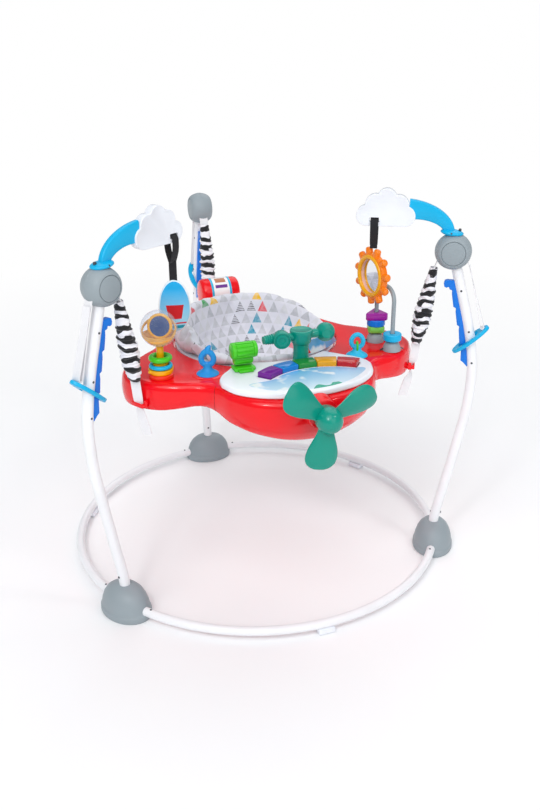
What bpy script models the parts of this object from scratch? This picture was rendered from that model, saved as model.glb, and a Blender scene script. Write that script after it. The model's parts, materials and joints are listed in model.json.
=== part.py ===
"""Activity jumper: a seat in a toy tray, hung on three springs from a ring-shaped floor frame.

Metres, +Z up. Everything is laid out from the middle of the floor ring; the empty called
"jumper" then moves the whole object so that the world origin is under its middle.
"""

import math

import bmesh
import bpy
from mathutils import Matrix, Vector

# ---- Floor frame
RING_RADIUS = 0.420
RING_TUBE_RADIUS = 0.0095
RING_HEIGHT = 0.020
LEG_TUBE_RADIUS = 0.011
LEG_ANGLES = {"left": 210.0, "right": 330.0, "rear": 90.0}
LEG_PATH = ((0.4190, 0.014), (0.4200, 0.075), (0.4368, 0.167), (0.4565, 0.272), (0.4704, 0.356),
            (0.4746, 0.430), (0.4704, 0.482), (0.4578, 0.545), (0.4410, 0.608), (0.4245, 0.668),
            (0.4205, 0.681))  # radius and height along a leg, floor to hub
FOOT_SIZE = (0.043, 0.060, 0.066)  # half depth, half width, height of the dome
PAD_SIZE = (0.026, 0.034, 0.012)
TUBE_END_GAP = 0.018

# ---- Hubs, straps and springs, as radius and height in the plane of each leg
HUB = (0.4154, 0.700)
HUB_RADIUS = 0.0375
HUB_WIDTH = 0.061
STRAP_WIDTH = 0.020
STRAP_THICK = 0.0014
STRAP_ARCH_RADIUS = 0.0265
STRAP_FRONT_END = (0.3783, 0.6600)
STRAP_BACK_END = (0.4905, 0.5445)
COVER_TOP = (0.3790, 0.6640)
COVER_BOTTOM = (0.3520, 0.5000)
BUCKLE = (0.3465, 0.4470)
TAIL_END = (0.3300, 0.3750)
COIL_RADIUS = 0.0072
COIL_WIRE = 0.0011
COIL_TURNS = 6

# ---- Height adjusters
SLIDER_CENTRE = (0.4655, 0.5130)
SLIDER_TILT = 41.0
SLIDER_HALF = (0.046, 0.031, 0.005)
RACK_HEIGHTS = (0.452, 0.640)
RACK_TEETH = 4

# ---- Toy arms and clouds
ARM_BASE = (0.4060, 0.7350)
SADDLE_HALF = (0.022, 0.019, 0.012)
CLOUD_CENTRE = (0.2760, 0.7480)
CLOUD_THICK = 0.018
CLOUD_LOBES = ((-0.040, 0.021, 0.0210), (-0.023, 0.044, 0.0205), (0.0, 0.056, 0.0200),
               (0.024, 0.042, 0.0215), (0.038, 0.021, 0.0210))  # along, up, radius

HANG_RADIUS = {"left": 0.238, "right": 0.253}
HANG_STRAP_WIDTH = 0.016
LOOP_RADIUS = 0.0113
BAR_DEPTH = 0.0080
STRAP_HOLE = (0.0200, 0.0095)
PLUSH_HALF = (0.030, 0.010, 0.053)
PLUSH_TWIST = -42.0
SUN_RADIUS = 0.062
SUN_THICK = 0.018
SUN_PETALS = 11
SUN_TWIST = -53.0

# ---- Tray, seen from above: angle about the middle and distance from it, right half
TRAY_TOP = 0.4920
TRAY_WALL = 0.003
HOLE_RADIUS = 0.180
TRAY_OUTLINE = ((-90, 0.374), (-80, 0.372), (-70, 0.357), (-62, 0.329), (-56, 0.302), (-50, 0.297),
                (-43, 0.314), (-35, 0.333), (-27, 0.341), (-20, 0.339), (-13, 0.316), (-6, 0.272),
                (3, 0.231), (16, 0.214), (40, 0.212), (58, 0.217), (68, 0.237), (76, 0.285),
                (83, 0.326), (90, 0.336))
SKIRT_DEPTH = 0.055
NOSE_DROP = 0.042
NOSE_HALF_ANGLE = 38.0
CONSOLE_TOP = 0.5050
HUMP_CENTRE = (0.0, 0.272, 0.5210)
HUMP_RADIUS = 0.0345
HUMP_LENGTH = 0.096
SEAT_RISE = 0.052
SEAT_LEAN = 0.012
ORIGIN_SHIFT = -0.0302

# ---- Toys on the tray
PROPELLER_CENTRE = (0.0, -0.410, 0.467)
PROPELLER_REACH = 0.103
YOKE_PLACE = (0.030, -0.1985)
YOKE_TURN = 16.0
KEY_ARC_CENTRE = (0.033, -0.4075)
KEY_ARC = (0.158, 0.1915)
KEY_SPREAD = 84.0
KEY_COLOURS = {"purple": (0.22, 0.02, 0.28), "blue": (0.0, 0.14, 0.55), "green": (0.02, 0.28, 0.06),
               "amber": (0.80, 0.36, 0.02), "red": (0.62, 0.03, 0.03)}
SHAFT_RADIUS = 0.0060
GLOBE_RADIUS = 0.0365
ARCH_ROD_RADIUS = 0.0045
ARCH_STRAIGHT = 0.0980
RATTLE_PLACE = (-0.249, -0.157)
FLIP_PLACE = (-0.096, -0.210)
TEETHER_PLACES = {"left": (-0.160, -0.178), "right": (0.160, -0.188)}
BEAD_POSTS = ((0.237, -0.118), (0.244, -0.182))

WHITE = (0.86, 0.87, 0.89)
GREY = (0.33, 0.37, 0.40)
RED = (0.85, 0.01, 0.02)
CYAN = (0.0, 0.48, 0.76)
BLUE = (0.01, 0.20, 0.68)
TEAL = (0.0, 0.30, 0.24)
YELLOW = (0.95, 0.60, 0.02)
GREEN = (0.10, 0.55, 0.06)


def material(name, colour, roughness=0.4, metallic=0.0):
    """The material of that name, made on first use."""
    found = bpy.data.materials.get(name)
    if found is None:
        found = bpy.data.materials.new(name)
        found.use_nodes = True
        shader = found.node_tree.nodes["Principled BSDF"]
        shader.inputs["Base Color"].default_value = (*colour, 1.0)
        shader.inputs["Roughness"].default_value = roughness
        shader.inputs["Metallic"].default_value = metallic
        found.diffuse_color = (*colour, 1.0)
    return found


def empty(name, parent=None, location=(0, 0, 0), turn=0.0):
    """A parent for pieces, turned about Z by degrees."""
    made = bpy.data.objects.new(name, None)
    bpy.context.scene.collection.objects.link(made)
    made.parent = parent
    made.location = location
    made.rotation_euler.z = math.radians(turn)
    return made


def piece(name, bm, mat, parent, location=(0, 0, 0), cutter=False):
    """Turns a bmesh into a named, smooth-shaded object with its normals outwards."""
    bmesh.ops.recalc_face_normals(bm, faces=bm.faces[:])
    mesh = bpy.data.meshes.new(name)
    bm.to_mesh(mesh)
    bm.free()
    made = bpy.data.objects.new(name, mesh)
    bpy.context.scene.collection.objects.link(made)
    made.parent = parent
    made.location = location
    if cutter:
        made.hide_render = True
        made.display_type = "WIRE"
        return made
    mesh.materials.append(mat)
    mesh.shade_smooth()
    mesh.set_sharp_from_angle(angle=math.radians(40))
    return made


def boolean(target, other, operation="DIFFERENCE"):
    """Cuts or joins target with a hidden helper object."""
    modifier = target.modifiers.new(other.name, "BOOLEAN")
    modifier.operation = operation
    modifier.object = other
    modifier.solver = "EXACT"


def smooth_path(points, steps):
    """Points of a Catmull-Rom curve through the given points, with that many steps per span."""
    points = [Vector(point) for point in points]
    ends = [2 * points[0] - points[1], *points, 2 * points[-1] - points[-2]]
    path = []
    for a, b, c, d in zip(ends, ends[1:], ends[2:], ends[3:]):
        for step in range(steps):
            t = step / steps
            path.append(0.5 * (2 * b + (c - a) * t + (2 * a - 5 * b + 4 * c - d) * t * t
                               + (3 * b - 3 * c + d - a) * t ** 3))
    return [*path, points[-1]]


def in_plane(points):
    """Radius and height pairs as points in the plane of a leg, which is the local XZ plane."""
    return [Vector((radius, 0.0, height)) for radius, height in points]


def circle(radius, sides):
    """A round section for sweep."""
    turn = 2 * math.pi / sides
    return [(radius * math.cos(turn * k), radius * math.sin(turn * k)) for k in range(sides)]


def strip(thick, width):
    """A rectangular section for sweep."""
    return [(-thick / 2, -width / 2), (thick / 2, -width / 2), (thick / 2, width / 2), (-thick / 2, width / 2)]


def sweep(path, section, side=Vector((0, 1, 0)), closed=False):
    """A solid of one section along a path square to side; section may be a function of 0..1."""
    bm = bmesh.new()
    rings = []
    count = len(path)
    for index, point in enumerate(path):
        before = path[index - 1] if closed or index else point
        after = path[(index + 1) % count] if closed or index < count - 1 else point
        across = side.cross(after - before).normalized()
        outline = section(index / (count - 1)) if callable(section) else section
        rings.append([bm.verts.new(point + across * a + side * b) for a, b in outline])
    pairs = list(zip(rings, rings[1:]))
    if closed:
        pairs.append((rings[-1], rings[0]))
    for first, second in pairs:
        for k in range(len(first)):
            m = (k + 1) % len(first)
            bm.faces.new((first[k], first[m], second[m], second[k]))
    if not closed:
        bm.faces.new(rings[0])
        bm.faces.new(rings[-1])
    return bm


def between_loops(bm, first, second, k, m):
    """One face between two loops, where a loop of one vertex is a pole."""
    corners = (first[k % len(first)], first[m % len(first)], second[m % len(second)], second[k % len(second)])
    bm.faces.new(list(dict.fromkeys(corners)))


def turned(profile, sides):
    """A solid of revolution about Z: (radius, height) pairs, where a radius of 0 closes a pole."""
    bm = bmesh.new()
    loops = []
    for radius, height in profile:
        if radius == 0:
            loops.append([bm.verts.new((0, 0, height))])
        else:
            loops.append([bm.verts.new((x, y, height)) for x, y in circle(radius, sides)])
    for first, second in zip(loops, loops[1:]):
        for k in range(sides):
            m = (k + 1) % sides
            between_loops(bm, first, second, k, m)
    for end in (loops[0], loops[-1]):
        if len(end) > 1:
            bm.faces.new(end)
    return bm


def turned_ring(profile, sides):
    """A closed ring section turned about Z."""
    path = [Vector((x, y, 0)) for x, y in circle(1.0, sides)]
    bm = bmesh.new()
    rings = [[bm.verts.new((radius * p.x, radius * p.y, height)) for radius, height in profile] for p in path]
    for first, second in zip(rings, [*rings[1:], rings[0]]):
        for k in range(len(profile)):
            m = (k + 1) % len(profile)
            bm.faces.new((first[k], first[m], second[m], second[k]))
    return bm


def slab(outline, thick, normal=Vector((0, 1, 0))):
    """A flat outline of points given a thickness along normal, half each way."""
    bm = bmesh.new()
    face = bm.faces.new([bm.verts.new(Vector(point) - normal * thick / 2) for point in outline])
    grown = bmesh.ops.extrude_face_region(bm, geom=[face])
    moved = [item for item in grown["geom"] if isinstance(item, bmesh.types.BMVert)]
    bmesh.ops.translate(bm, verts=moved, vec=normal * thick)
    return bm


def block(size, centre=(0, 0, 0)):
    """A box of full size about centre."""
    bm = bmesh.new()
    bmesh.ops.create_cube(bm, size=1.0, matrix=Matrix.Translation(centre) @ Matrix.Diagonal((*size, 1.0)))
    return bm


def ball(half_sizes, centre=(0, 0, 0), rows=8):
    """An ellipsoid about centre."""
    bm = bmesh.new()
    bmesh.ops.create_uvsphere(bm, u_segments=2 * rows, v_segments=rows, radius=1.0,
                              matrix=Matrix.Translation(centre) @ Matrix.Diagonal((*half_sizes, 1.0)))
    return bm


def bevel(target, width, segments=2, angle=40):
    """Rounds the sharp edges of a piece."""
    modifier = target.modifiers.new("rounded edges", "BEVEL")
    modifier.width = width
    modifier.segments = segments
    modifier.limit_method = "ANGLE"
    modifier.angle_limit = math.radians(angle)


# ---------------------------------------------------------------- floor frame

def leg_at(height):
    """Radius of a leg's centre line at a height."""
    for (r0, z0), (r1, z1) in zip(LEG_PATH, LEG_PATH[1:]):
        if z0 <= height <= z1:
            return r0 + (r1 - r0) * (height - z0) / (z1 - z0)
    raise ValueError(height)


def make_base_tubes(jumper):
    """Three arcs of the floor ring, each with a pad under its middle."""
    white = material("white powder coat", WHITE, 0.35)
    end = math.degrees(TUBE_END_GAP / RING_RADIUS)
    for name, start in (("front", 210.0), ("right", 330.0), ("left", 90.0)):
        angles = [math.radians(start + end + (120 - 2 * end) * k / 14) for k in range(15)]
        path = [Vector((RING_RADIUS * math.cos(a), RING_RADIUS * math.sin(a), RING_HEIGHT)) for a in angles]
        tube = piece("base_tube_" + name, sweep(path, circle(RING_TUBE_RADIUS, 8), Vector((0, 0, 1))), white,
                     jumper)
        pad = piece("pad_form_" + name, block(PAD_SIZE, (RING_RADIUS, 0, PAD_SIZE[2] / 2)), white, jumper,
                    cutter=True)
        pad.rotation_euler.z = math.radians(start + 60)
        boolean(tube, pad, "UNION")


def make_leg(name, plane):
    """One leg with its foot and its hub, in the plane of the leg."""
    white = material("white powder coat", WHITE, 0.35)
    grey = material("grey plastic", GREY, 0.45)
    path = in_plane(LEG_PATH)
    piece("leg_" + name, sweep(path, circle(LEG_TUBE_RADIUS, 10)), white, plane)

    dome = ball(FOOT_SIZE, rows=7)
    bmesh.ops.bisect_plane(dome, geom=dome.verts[:] + dome.edges[:] + dome.faces[:], plane_co=(0, 0, 0),
                           plane_no=(0, 0, 1), clear_inner=True)
    bmesh.ops.contextual_create(dome, geom=[edge for edge in dome.edges if edge.is_boundary])
    foot = piece("foot_" + name, dome, grey, plane, (RING_RADIUS, 0, 0))
    socket = piece("leg_socket_" + name, sweep(path[:4], circle(LEG_TUBE_RADIUS + 0.0006, 10)), grey, plane,
                   cutter=True)
    boolean(foot, socket)
    angles = [math.radians(9.5 * (k - 2) / 2) for k in range(5)]
    arc = [Vector((RING_RADIUS * math.cos(a), RING_RADIUS * math.sin(a), RING_HEIGHT)) for a in angles]
    bore = piece("ring_bore_" + name, sweep(arc, circle(RING_TUBE_RADIUS + 0.0012, 8), Vector((0, 0, 1))), grey,
                 plane, cutter=True)
    boolean(foot, bore)

    drum = bmesh.new()
    bmesh.ops.create_cone(drum, cap_ends=True, segments=20, radius1=HUB_RADIUS, radius2=HUB_RADIUS, depth=HUB_WIDTH,
                          matrix=Matrix.Rotation(math.pi / 2, 4, "X"))
    hub = piece("hub_" + name, drum, grey, plane, (HUB[0], 0, HUB[1]))
    bevel(hub, 0.009, 1)
    top = piece("hub_socket_" + name, sweep(path[-4:], circle(LEG_TUBE_RADIUS + 0.0006, 10)), grey, plane,
                cutter=True)
    boolean(hub, top)
    channel = piece("strap_channel_" + name,
                    sweep(strap_over_hub(0.004), strip(STRAP_THICK + 0.0022, STRAP_WIDTH + 0.0022)), grey, plane,
                    cutter=True)
    boolean(hub, channel)


def strap_over_hub(extra=0.0):
    """Path of the height strap: up from the spring, over the bar in the hub and down the outside."""
    angles = [math.radians(196 - 206 * k / 10) for k in range(11)]
    arch = [(HUB[0] + STRAP_ARCH_RADIUS * math.cos(a), HUB[1] + STRAP_ARCH_RADIUS * math.sin(a)) for a in angles]
    path = in_plane([STRAP_FRONT_END, *arch, STRAP_BACK_END])
    if extra:
        path[0] = path[1] + (path[0] - path[1]) * (1 + extra / 0.02)
    return path


def make_straps_and_spring(name, plane):
    """Height strap, spring, fabric cover and tray strap, from the adjuster to the tray."""
    webbing = material("white webbing", (0.85, 0.85, 0.86), 0.8)
    steel = material("spring steel", (0.6, 0.6, 0.62), 0.3, 1.0)
    zebra = material("black and white fabric", (0.45, 0.45, 0.47), 0.85)

    def narrowed(t):
        width = 0.010 + (STRAP_WIDTH - 0.010) * min(1.0, t * 6)
        return strip(STRAP_THICK, width)

    piece("height_strap_" + name, sweep(strap_over_hub(), narrowed), webbing, plane)

    top, bottom = in_plane([COVER_TOP, COVER_BOTTOM])
    down = (bottom - top).normalized()
    out = Vector((0, 1, 0)).cross(down)
    length = (bottom - top).length
    bulge = [(0.0, 0.0090), (0.20, 0.0125), (0.50, 0.0180), (0.75, 0.0172), (1.0, 0.0125)]
    cover = bmesh.new()
    loops = [[(t, radius) for t, radius in bulge], [(t, radius - 0.0016) for t, radius in reversed(bulge)]]
    rings = []
    for t, radius in [*loops[0], *loops[1]]:
        centre = top + down * (length * t)
        rings.append([cover.verts.new(centre + out * a + Vector((0, b, 0))) for a, b in circle(radius, 10)])
    for first, second in zip(rings, [*rings[1:], rings[0]]):
        for k in range(10):
            m = (k + 1) % 10
            cover.faces.new((first[k], first[m], second[m], second[k]))
    piece("spring_cover_" + name, cover, zebra, plane)

    coil = []
    steps = COIL_TURNS * 8
    for k in range(steps + 1):
        angle = 2 * math.pi * k / 8
        centre = top + down * (length * (0.13 + 0.71 * k / steps))
        coil.append(centre + (out * math.cos(angle) + Vector((0, 1, 0)) * math.sin(angle)) * COIL_RADIUS)
    curve = bpy.data.curves.new("spring_" + name, "CURVE")
    curve.dimensions = "3D"
    curve.bevel_depth = COIL_WIRE
    curve.bevel_resolution = 0
    curve.use_fill_caps = True
    spline = curve.splines.new("POLY")
    spline.points.add(len(coil) - 1)
    for point, place in zip(spline.points, coil):
        point.co = (*place, 1.0)
    curve.materials.append(steel)
    spring = bpy.data.objects.new("spring_" + name, curve)
    bpy.context.scene.collection.objects.link(spring)
    spring.parent = plane


def make_tray_strap(name, plane):
    """Webbing from the spring through the buckle on the tray, with its hanging tail."""
    webbing = material("white webbing", (0.85, 0.85, 0.86), 0.8)
    start = Vector((COVER_BOTTOM[0] + 0.0012, 0, COVER_BOTTOM[1] + 0.014))
    path = smooth_path([start, *in_plane([(0.3500, 0.4760), BUCKLE, (0.3405, 0.4160), TAIL_END])], 3)

    def section(t):
        return strip(STRAP_THICK, 0.013 + (STRAP_WIDTH - 0.013) * min(1.0, t * 7))

    piece("tray_strap_" + name, sweep(path, section), webbing, plane)


def make_adjuster(name, plane):
    """Toothed rack on the inner side of a leg, and the tilted disc that slides on the leg."""
    low, high = RACK_HEIGHTS
    steps = 8 * RACK_TEETH
    outline = []
    for k in range(steps + 1):
        height = high + (low - high) * k / steps
        outline.append((leg_at(height) - LEG_TUBE_RADIUS - 0.0008, height))
    for k in range(RACK_TEETH, 0, -1):
        for share, depth in ((1.0, 0.0055), (0.72, 0.0125), (0.10, 0.0125), (0.06, 0.0055)):
            height = high + (low - high) * (k - 1 + share) / RACK_TEETH
            outline.append((leg_at(height) - LEG_TUBE_RADIUS - 0.0008 - depth, height))
    outline.append((leg_at(high) - LEG_TUBE_RADIUS - 0.0200, high - 0.004))
    outline.append((leg_at(high) - LEG_TUBE_RADIUS - 0.0170, high))
    piece("height_rack_" + name, slab(in_plane(outline), 0.012), material("blue plastic", BLUE, 0.4), plane)

    centre = Vector((SLIDER_CENTRE[0], 0, SLIDER_CENTRE[1]))
    depth, width, thick = SLIDER_HALF
    disc = bmesh.new()
    tilt = Matrix.Rotation(math.radians(-SLIDER_TILT), 4, "Y")
    bmesh.ops.create_cone(disc, cap_ends=True, segments=18, radius1=1.0, radius2=1.0, depth=2.0,
                          matrix=tilt @ Matrix.Diagonal((depth, width, thick, 1.0)))
    slider = piece("height_slider_" + name, disc, material("cyan plastic", CYAN, 0.3), plane, centre)
    bevel(slider, 0.003, 1)
    slot_outline = []
    radius = LEG_TUBE_RADIUS + 0.0035
    for k in range(9):
        angle = math.radians(-90 + 180 * k / 8)
        slot_outline.append(Vector((0.005 + radius * math.cos(angle), radius * math.sin(angle), 0)))
    slot_outline += [Vector((-0.0335, 0.0095, 0)), Vector((-0.0335, -0.0095, 0))]
    slot = slab(slot_outline, 0.12, Vector((0, 0, 1)))
    bmesh.ops.transform(slot, verts=slot.verts[:], matrix=Matrix.Shear("XY", 4, (-0.165, 0.0)))
    boolean(slider, piece("slider_slot_" + name, slot, None, plane, centre, cutter=True))


# ---------------------------------------------------------------- toy arms

def cloud_outline(grow=0.0):
    """Outline of a cloud above a flat base, as offsets along and up from the middle of the base."""
    centre = Vector((0.0, 0.030))
    points = []
    steps = 44
    for k in range(steps):
        angle = 2 * math.pi * k / steps
        ray = Vector((math.cos(angle), math.sin(angle)))
        reach = 0.0
        for along, up, radius in CLOUD_LOBES:
            offset = Vector((along, up)) - centre
            middle = ray.dot(offset)
            gap = (radius + grow) ** 2 - (offset.length_squared - middle * middle)
            if gap > 0:
                reach = max(reach, middle + math.sqrt(gap))
        point = centre + ray * reach
        points.append(Vector((point.x, max(point.y, -grow))))
    return points


def make_toy_arm(name, plane):
    """A curved blade on top of a front hub, and the cloud at its inner end."""
    cyan = material("cyan plastic", CYAN, 0.3)
    tip = Vector((CLOUD_CENTRE[0] + 0.046, 0, 0.7830))
    base = Vector((ARM_BASE[0], 0, ARM_BASE[1] - 0.002))
    path = []
    for k in range(8):
        angle = math.radians(90 * k / 7)
        path.append(Vector((tip.x + (base.x - tip.x) * math.cos(angle), 0,
                            base.z + (tip.z - base.z) * math.sin(angle))))

    def section(t):
        return strip(0.0190 + 0.0225 * t ** 1.3, 0.012)

    arm = piece("toy_arm_" + name, sweep(path, section), cyan, plane)
    saddle = piece("saddle_form_" + name,
                   ball(SADDLE_HALF, (ARM_BASE[0] + 0.002, 0, HUB[1] + HUB_RADIUS), rows=6), cyan, plane, cutter=True)
    boolean(arm, saddle, "UNION")
    clear = bmesh.new()
    bmesh.ops.create_cone(clear, cap_ends=True, segments=40, radius1=HUB_RADIUS + 0.0004,
                          radius2=HUB_RADIUS + 0.0004, depth=0.1, matrix=Matrix.Rotation(math.pi / 2, 4, "X"))
    boolean(arm, piece("hub_clearance_" + name, clear, None, plane, (HUB[0], 0, HUB[1]), cutter=True))

    outline = [Vector((point.x, 0, point.y)) for point in cloud_outline()]
    cloud = piece("cloud_" + name, slab(outline, CLOUD_THICK), material("white plastic", WHITE, 0.3), plane,
                  (CLOUD_CENTRE[0], 0, CLOUD_CENTRE[1]))
    pocket = block((0.036, 0.0127, 0.0430), (tip.x + 0.0165, 0, tip.z))
    boolean(cloud, piece("arm_pocket_" + name, pocket, None, plane, cutter=True))
    hole = block((STRAP_HOLE[0], 0.04, STRAP_HOLE[1]),
                 (HANG_RADIUS[name], 0, CLOUD_CENTRE[1] + BAR_DEPTH + STRAP_HOLE[1] / 2))
    boolean(cloud, piece("strap_hole_" + name, hole, None, plane, cutter=True))


def hanging_strap(bottom):
    """A sewn strap looped over the bar under the cloud's slot; the bar's middle is the origin."""
    path = [Vector((0, y, z)) for y, z in circle(LOOP_RADIUS, 16)]
    loop = sweep(path, strip(STRAP_THICK, HANG_STRAP_WIDTH), Vector((1, 0, 0)), closed=True)
    drop = block((HANG_STRAP_WIDTH - 0.001, 0.0030, bottom - LOOP_RADIUS + 0.0006),
                 (0, 0, -(bottom + LOOP_RADIUS - 0.0006) / 2))
    return loop, drop


def make_hanging_toy(name, plane, body, mat, bottom):
    """Joins a toy body, modelled below its strap, to the loop of strap that it swings on."""
    loop, drop = hanging_strap(bottom)
    place = (HANG_RADIUS[name.split("_")[1]], 0, CLOUD_CENTRE[1] + BAR_DEPTH / 2)
    made = piece(name.split("_")[0] + "_toy", body, mat, plane, place)
    for label, form in (("loop_form_", loop), ("drop_form_", drop)):
        boolean(made, piece(label + name, form, None, plane, place, cutter=True), "UNION")


def make_plush_toy(plane):
    """A flat oval padded toy."""
    middle = 0.078 + PLUSH_HALF[2]
    body = bmesh.new()
    bmesh.ops.create_uvsphere(body, u_segments=14, v_segments=8, radius=1.0,
                              matrix=Matrix.Translation((0, 0, -middle))
                              @ Matrix.Rotation(math.radians(PLUSH_TWIST), 4, "Z")
                              @ Matrix.Diagonal((*PLUSH_HALF, 1.0)))
    make_hanging_toy("plush_left", plane, body, material("blue plush", (0.05, 0.50, 0.75), 0.9), 0.090)


def make_sun_toy(plane):
    """A round mirror in a ring of soft petals."""
    outline = []
    for k in range(4 * SUN_PETALS):
        angle = 2 * math.pi * k / (4 * SUN_PETALS)
        radius = SUN_RADIUS - 0.0085 * (1 - abs(math.cos(angle * SUN_PETALS / 2)) ** 0.5)
        outline.append(Vector((radius * math.cos(angle), 0, radius * math.sin(angle))))
    body = slab(outline, SUN_THICK)
    middle = 0.048 + SUN_RADIUS
    bmesh.ops.transform(body, verts=body.verts[:],
                        matrix=Matrix.Translation((0, 0, -middle)) @ Matrix.Rotation(math.radians(SUN_TWIST), 4, "Z"))
    make_hanging_toy("sun_right", plane, body, material("orange plastic", (0.95, 0.33, 0.02), 0.35), 0.058)


# ---------------------------------------------------------------- tray and seat

def outline_radius(degrees):
    """Distance of the tray's edge from the middle, at an angle from +X, mirrored left to right."""
    folded = (degrees + 90.0) % 360.0
    folded = (folded if folded <= 180.0 else 360.0 - folded) - 90.0
    mirrored = [(-180 - a, r) for a, r in TRAY_OUTLINE[2:0:-1]]
    beyond = [(180 - a, r) for a, r in TRAY_OUTLINE[-2:-4:-1]]
    points = [*mirrored, *TRAY_OUTLINE, *beyond]
    for (_, ra), (ab, rb), (ac, rc), (_, rd) in zip(points, points[1:], points[2:], points[3:]):
        if ab <= folded <= ac:
            t = (folded - ab) / (ac - ab)
            return 0.5 * (2 * rb + (rc - ra) * t + (2 * ra - 5 * rb + 4 * rc - rd) * t * t
                          + (3 * rb - 3 * rc + rd - ra) * t ** 3)
    raise ValueError(degrees)


def nose_share(degrees):
    """1 at the nose, falling smoothly to 0 at the wing roots."""
    away = abs((degrees + 270.0) % 360.0 - 180.0)
    share = max(0.0, 1.0 - away / NOSE_HALF_ANGLE)
    return share * share * (3 - 2 * share)


def polar_loop(bm, degrees, radius, height):
    """A ring of vertices, one for each angle, from functions of the angle."""
    ring = []
    for angle in degrees:
        a = math.radians(angle)
        ring.append(bm.verts.new((radius(angle) * math.cos(a), radius(angle) * math.sin(a), height(angle))))
    return ring


def make_tray_shell(tray):
    """The moulded tray: an open-bottomed shell shaped like an aeroplane, with a round seat hole."""
    red = material("red gloss plastic", RED, 0.15)
    degrees = [7.5 * k for k in range(48)]
    bm = bmesh.new()
    levels = (
        (lambda a: HOLE_RADIUS, lambda a: TRAY_TOP - 0.036),
        (lambda a: HOLE_RADIUS, lambda a: TRAY_TOP - 0.004),
        (lambda a: HOLE_RADIUS + 0.004, lambda a: TRAY_TOP),
        (lambda a: outline_radius(a) - 0.013, lambda a: TRAY_TOP),
        (lambda a: outline_radius(a) - 0.004, lambda a: TRAY_TOP - 0.004),
        (lambda a: outline_radius(a), lambda a: TRAY_TOP - 0.014),
        (lambda a: outline_radius(a) + 0.001 - 0.008 * nose_share(a),
         lambda a: TRAY_TOP - SKIRT_DEPTH * 0.6 - NOSE_DROP * 0.5 * nose_share(a)),
        (lambda a: outline_radius(a) - 0.003 - 0.034 * nose_share(a),
         lambda a: TRAY_TOP - SKIRT_DEPTH - NOSE_DROP * nose_share(a)),
    )
    rings = [polar_loop(bm, degrees, radius, height) for radius, height in levels]
    for first, second in zip(rings, rings[1:]):
        for k in range(48):
            m = (k + 1) % 48
            bm.faces.new((first[k], first[m], second[m], second[k]))
    shell = piece("tray_shell", bm, red, tray)
    wall = shell.modifiers.new("wall", "SOLIDIFY")
    wall.thickness = TRAY_WALL
    wall.offset = -1.0

    boss = bmesh.new()
    bmesh.ops.create_cone(boss, cap_ends=True, segments=24, radius1=0.034, radius2=0.029, depth=0.026,
                          matrix=Matrix.Rotation(math.pi / 2, 4, "X"))
    boss_place = (0, PROPELLER_CENTRE[1] + 0.0343, PROPELLER_CENTRE[2])
    boolean(shell, piece("propeller_boss_form", boss, None, tray, boss_place, cutter=True), "UNION")
    bore = bmesh.new()
    bmesh.ops.create_cone(bore, cap_ends=True, segments=16, radius1=SHAFT_RADIUS + 0.0005,
                          radius2=SHAFT_RADIUS + 0.0005, depth=0.060, matrix=Matrix.Rotation(math.pi / 2, 4, "X"))
    boolean(shell, piece("shaft_bore", bore, None, tray, boss_place, cutter=True))

    hump = bmesh.new()
    bmesh.ops.create_cone(hump, cap_ends=True, segments=32, radius1=HUMP_RADIUS, radius2=HUMP_RADIUS,
                          depth=HUMP_LENGTH, matrix=Matrix.Rotation(math.pi / 2, 4, "Y"))
    boolean(shell, piece("tail_hump_form", hump, None, tray, HUMP_CENTRE, cutter=True), "UNION")

    for name, angle in LEG_ANGLES.items():
        plane = empty("buckle_plane_" + name, tray, turn=angle)
        ear = block((0.0175, 0.032, 0.0085), (BUCKLE[0] - 0.0025, 0, BUCKLE[1]))
        boolean(shell, piece("buckle_form_" + name, ear, None, plane, cutter=True), "UNION")
        slot = block((0.0066, STRAP_WIDTH + 0.003, 0.03), (BUCKLE[0], 0, BUCKLE[1]))
        bmesh.ops.transform(slot, verts=slot.verts[:],
                            matrix=Matrix.Translation((BUCKLE[0], 0, BUCKLE[1]))
                            @ Matrix.Rotation(math.radians(9), 4, "Y")
                            @ Matrix.Translation((-BUCKLE[0], 0, -BUCKLE[1])))
        boolean(shell, piece("buckle_slot_" + name, slot, None, plane, cutter=True))


def console_outline():
    """Outline of the console panel from above: a rounded front, and a back that follows the seat hole."""
    front = [(-0.157, -0.262), (-0.140, -0.303), (-0.098, -0.338), (-0.045, -0.356), (0.0, -0.360),
             (0.045, -0.356), (0.098, -0.338), (0.140, -0.303), (0.157, -0.262)]
    back = [(math.radians(a), 0.1885) for a in (-60, -67.5, -75, -82.5, -90, -97.5, -105, -112.5, -120)]
    rear = [(radius * math.cos(a), radius * math.sin(a)) for a, radius in back]
    corner = [(0.148, -0.226), (0.122, -0.194)]
    loop = [*front, *corner, *rear, *[(-x, y) for x, y in reversed(corner)]]
    return [Vector((x, y, 0)) for x, y in loop]


def key_sector(start, end, grow, low, high, steps):
    """A curved key: the part of the key arc between two angles."""
    inner, outer = KEY_ARC[0] - grow, KEY_ARC[1] + grow
    angles = [math.radians(start + (end - start) * k / steps) for k in range(steps + 1)]
    near = [Vector((inner * math.cos(a), inner * math.sin(a), 0)) for a in angles]
    far = [Vector((outer * math.cos(a), outer * math.sin(a), 0)) for a in reversed(angles)]
    sector = slab([*near, *far], high - low, Vector((0, 0, 1)))
    bmesh.ops.translate(sector, verts=sector.verts[:], vec=(*KEY_ARC_CENTRE, (low + high) / 2))
    return sector


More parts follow.
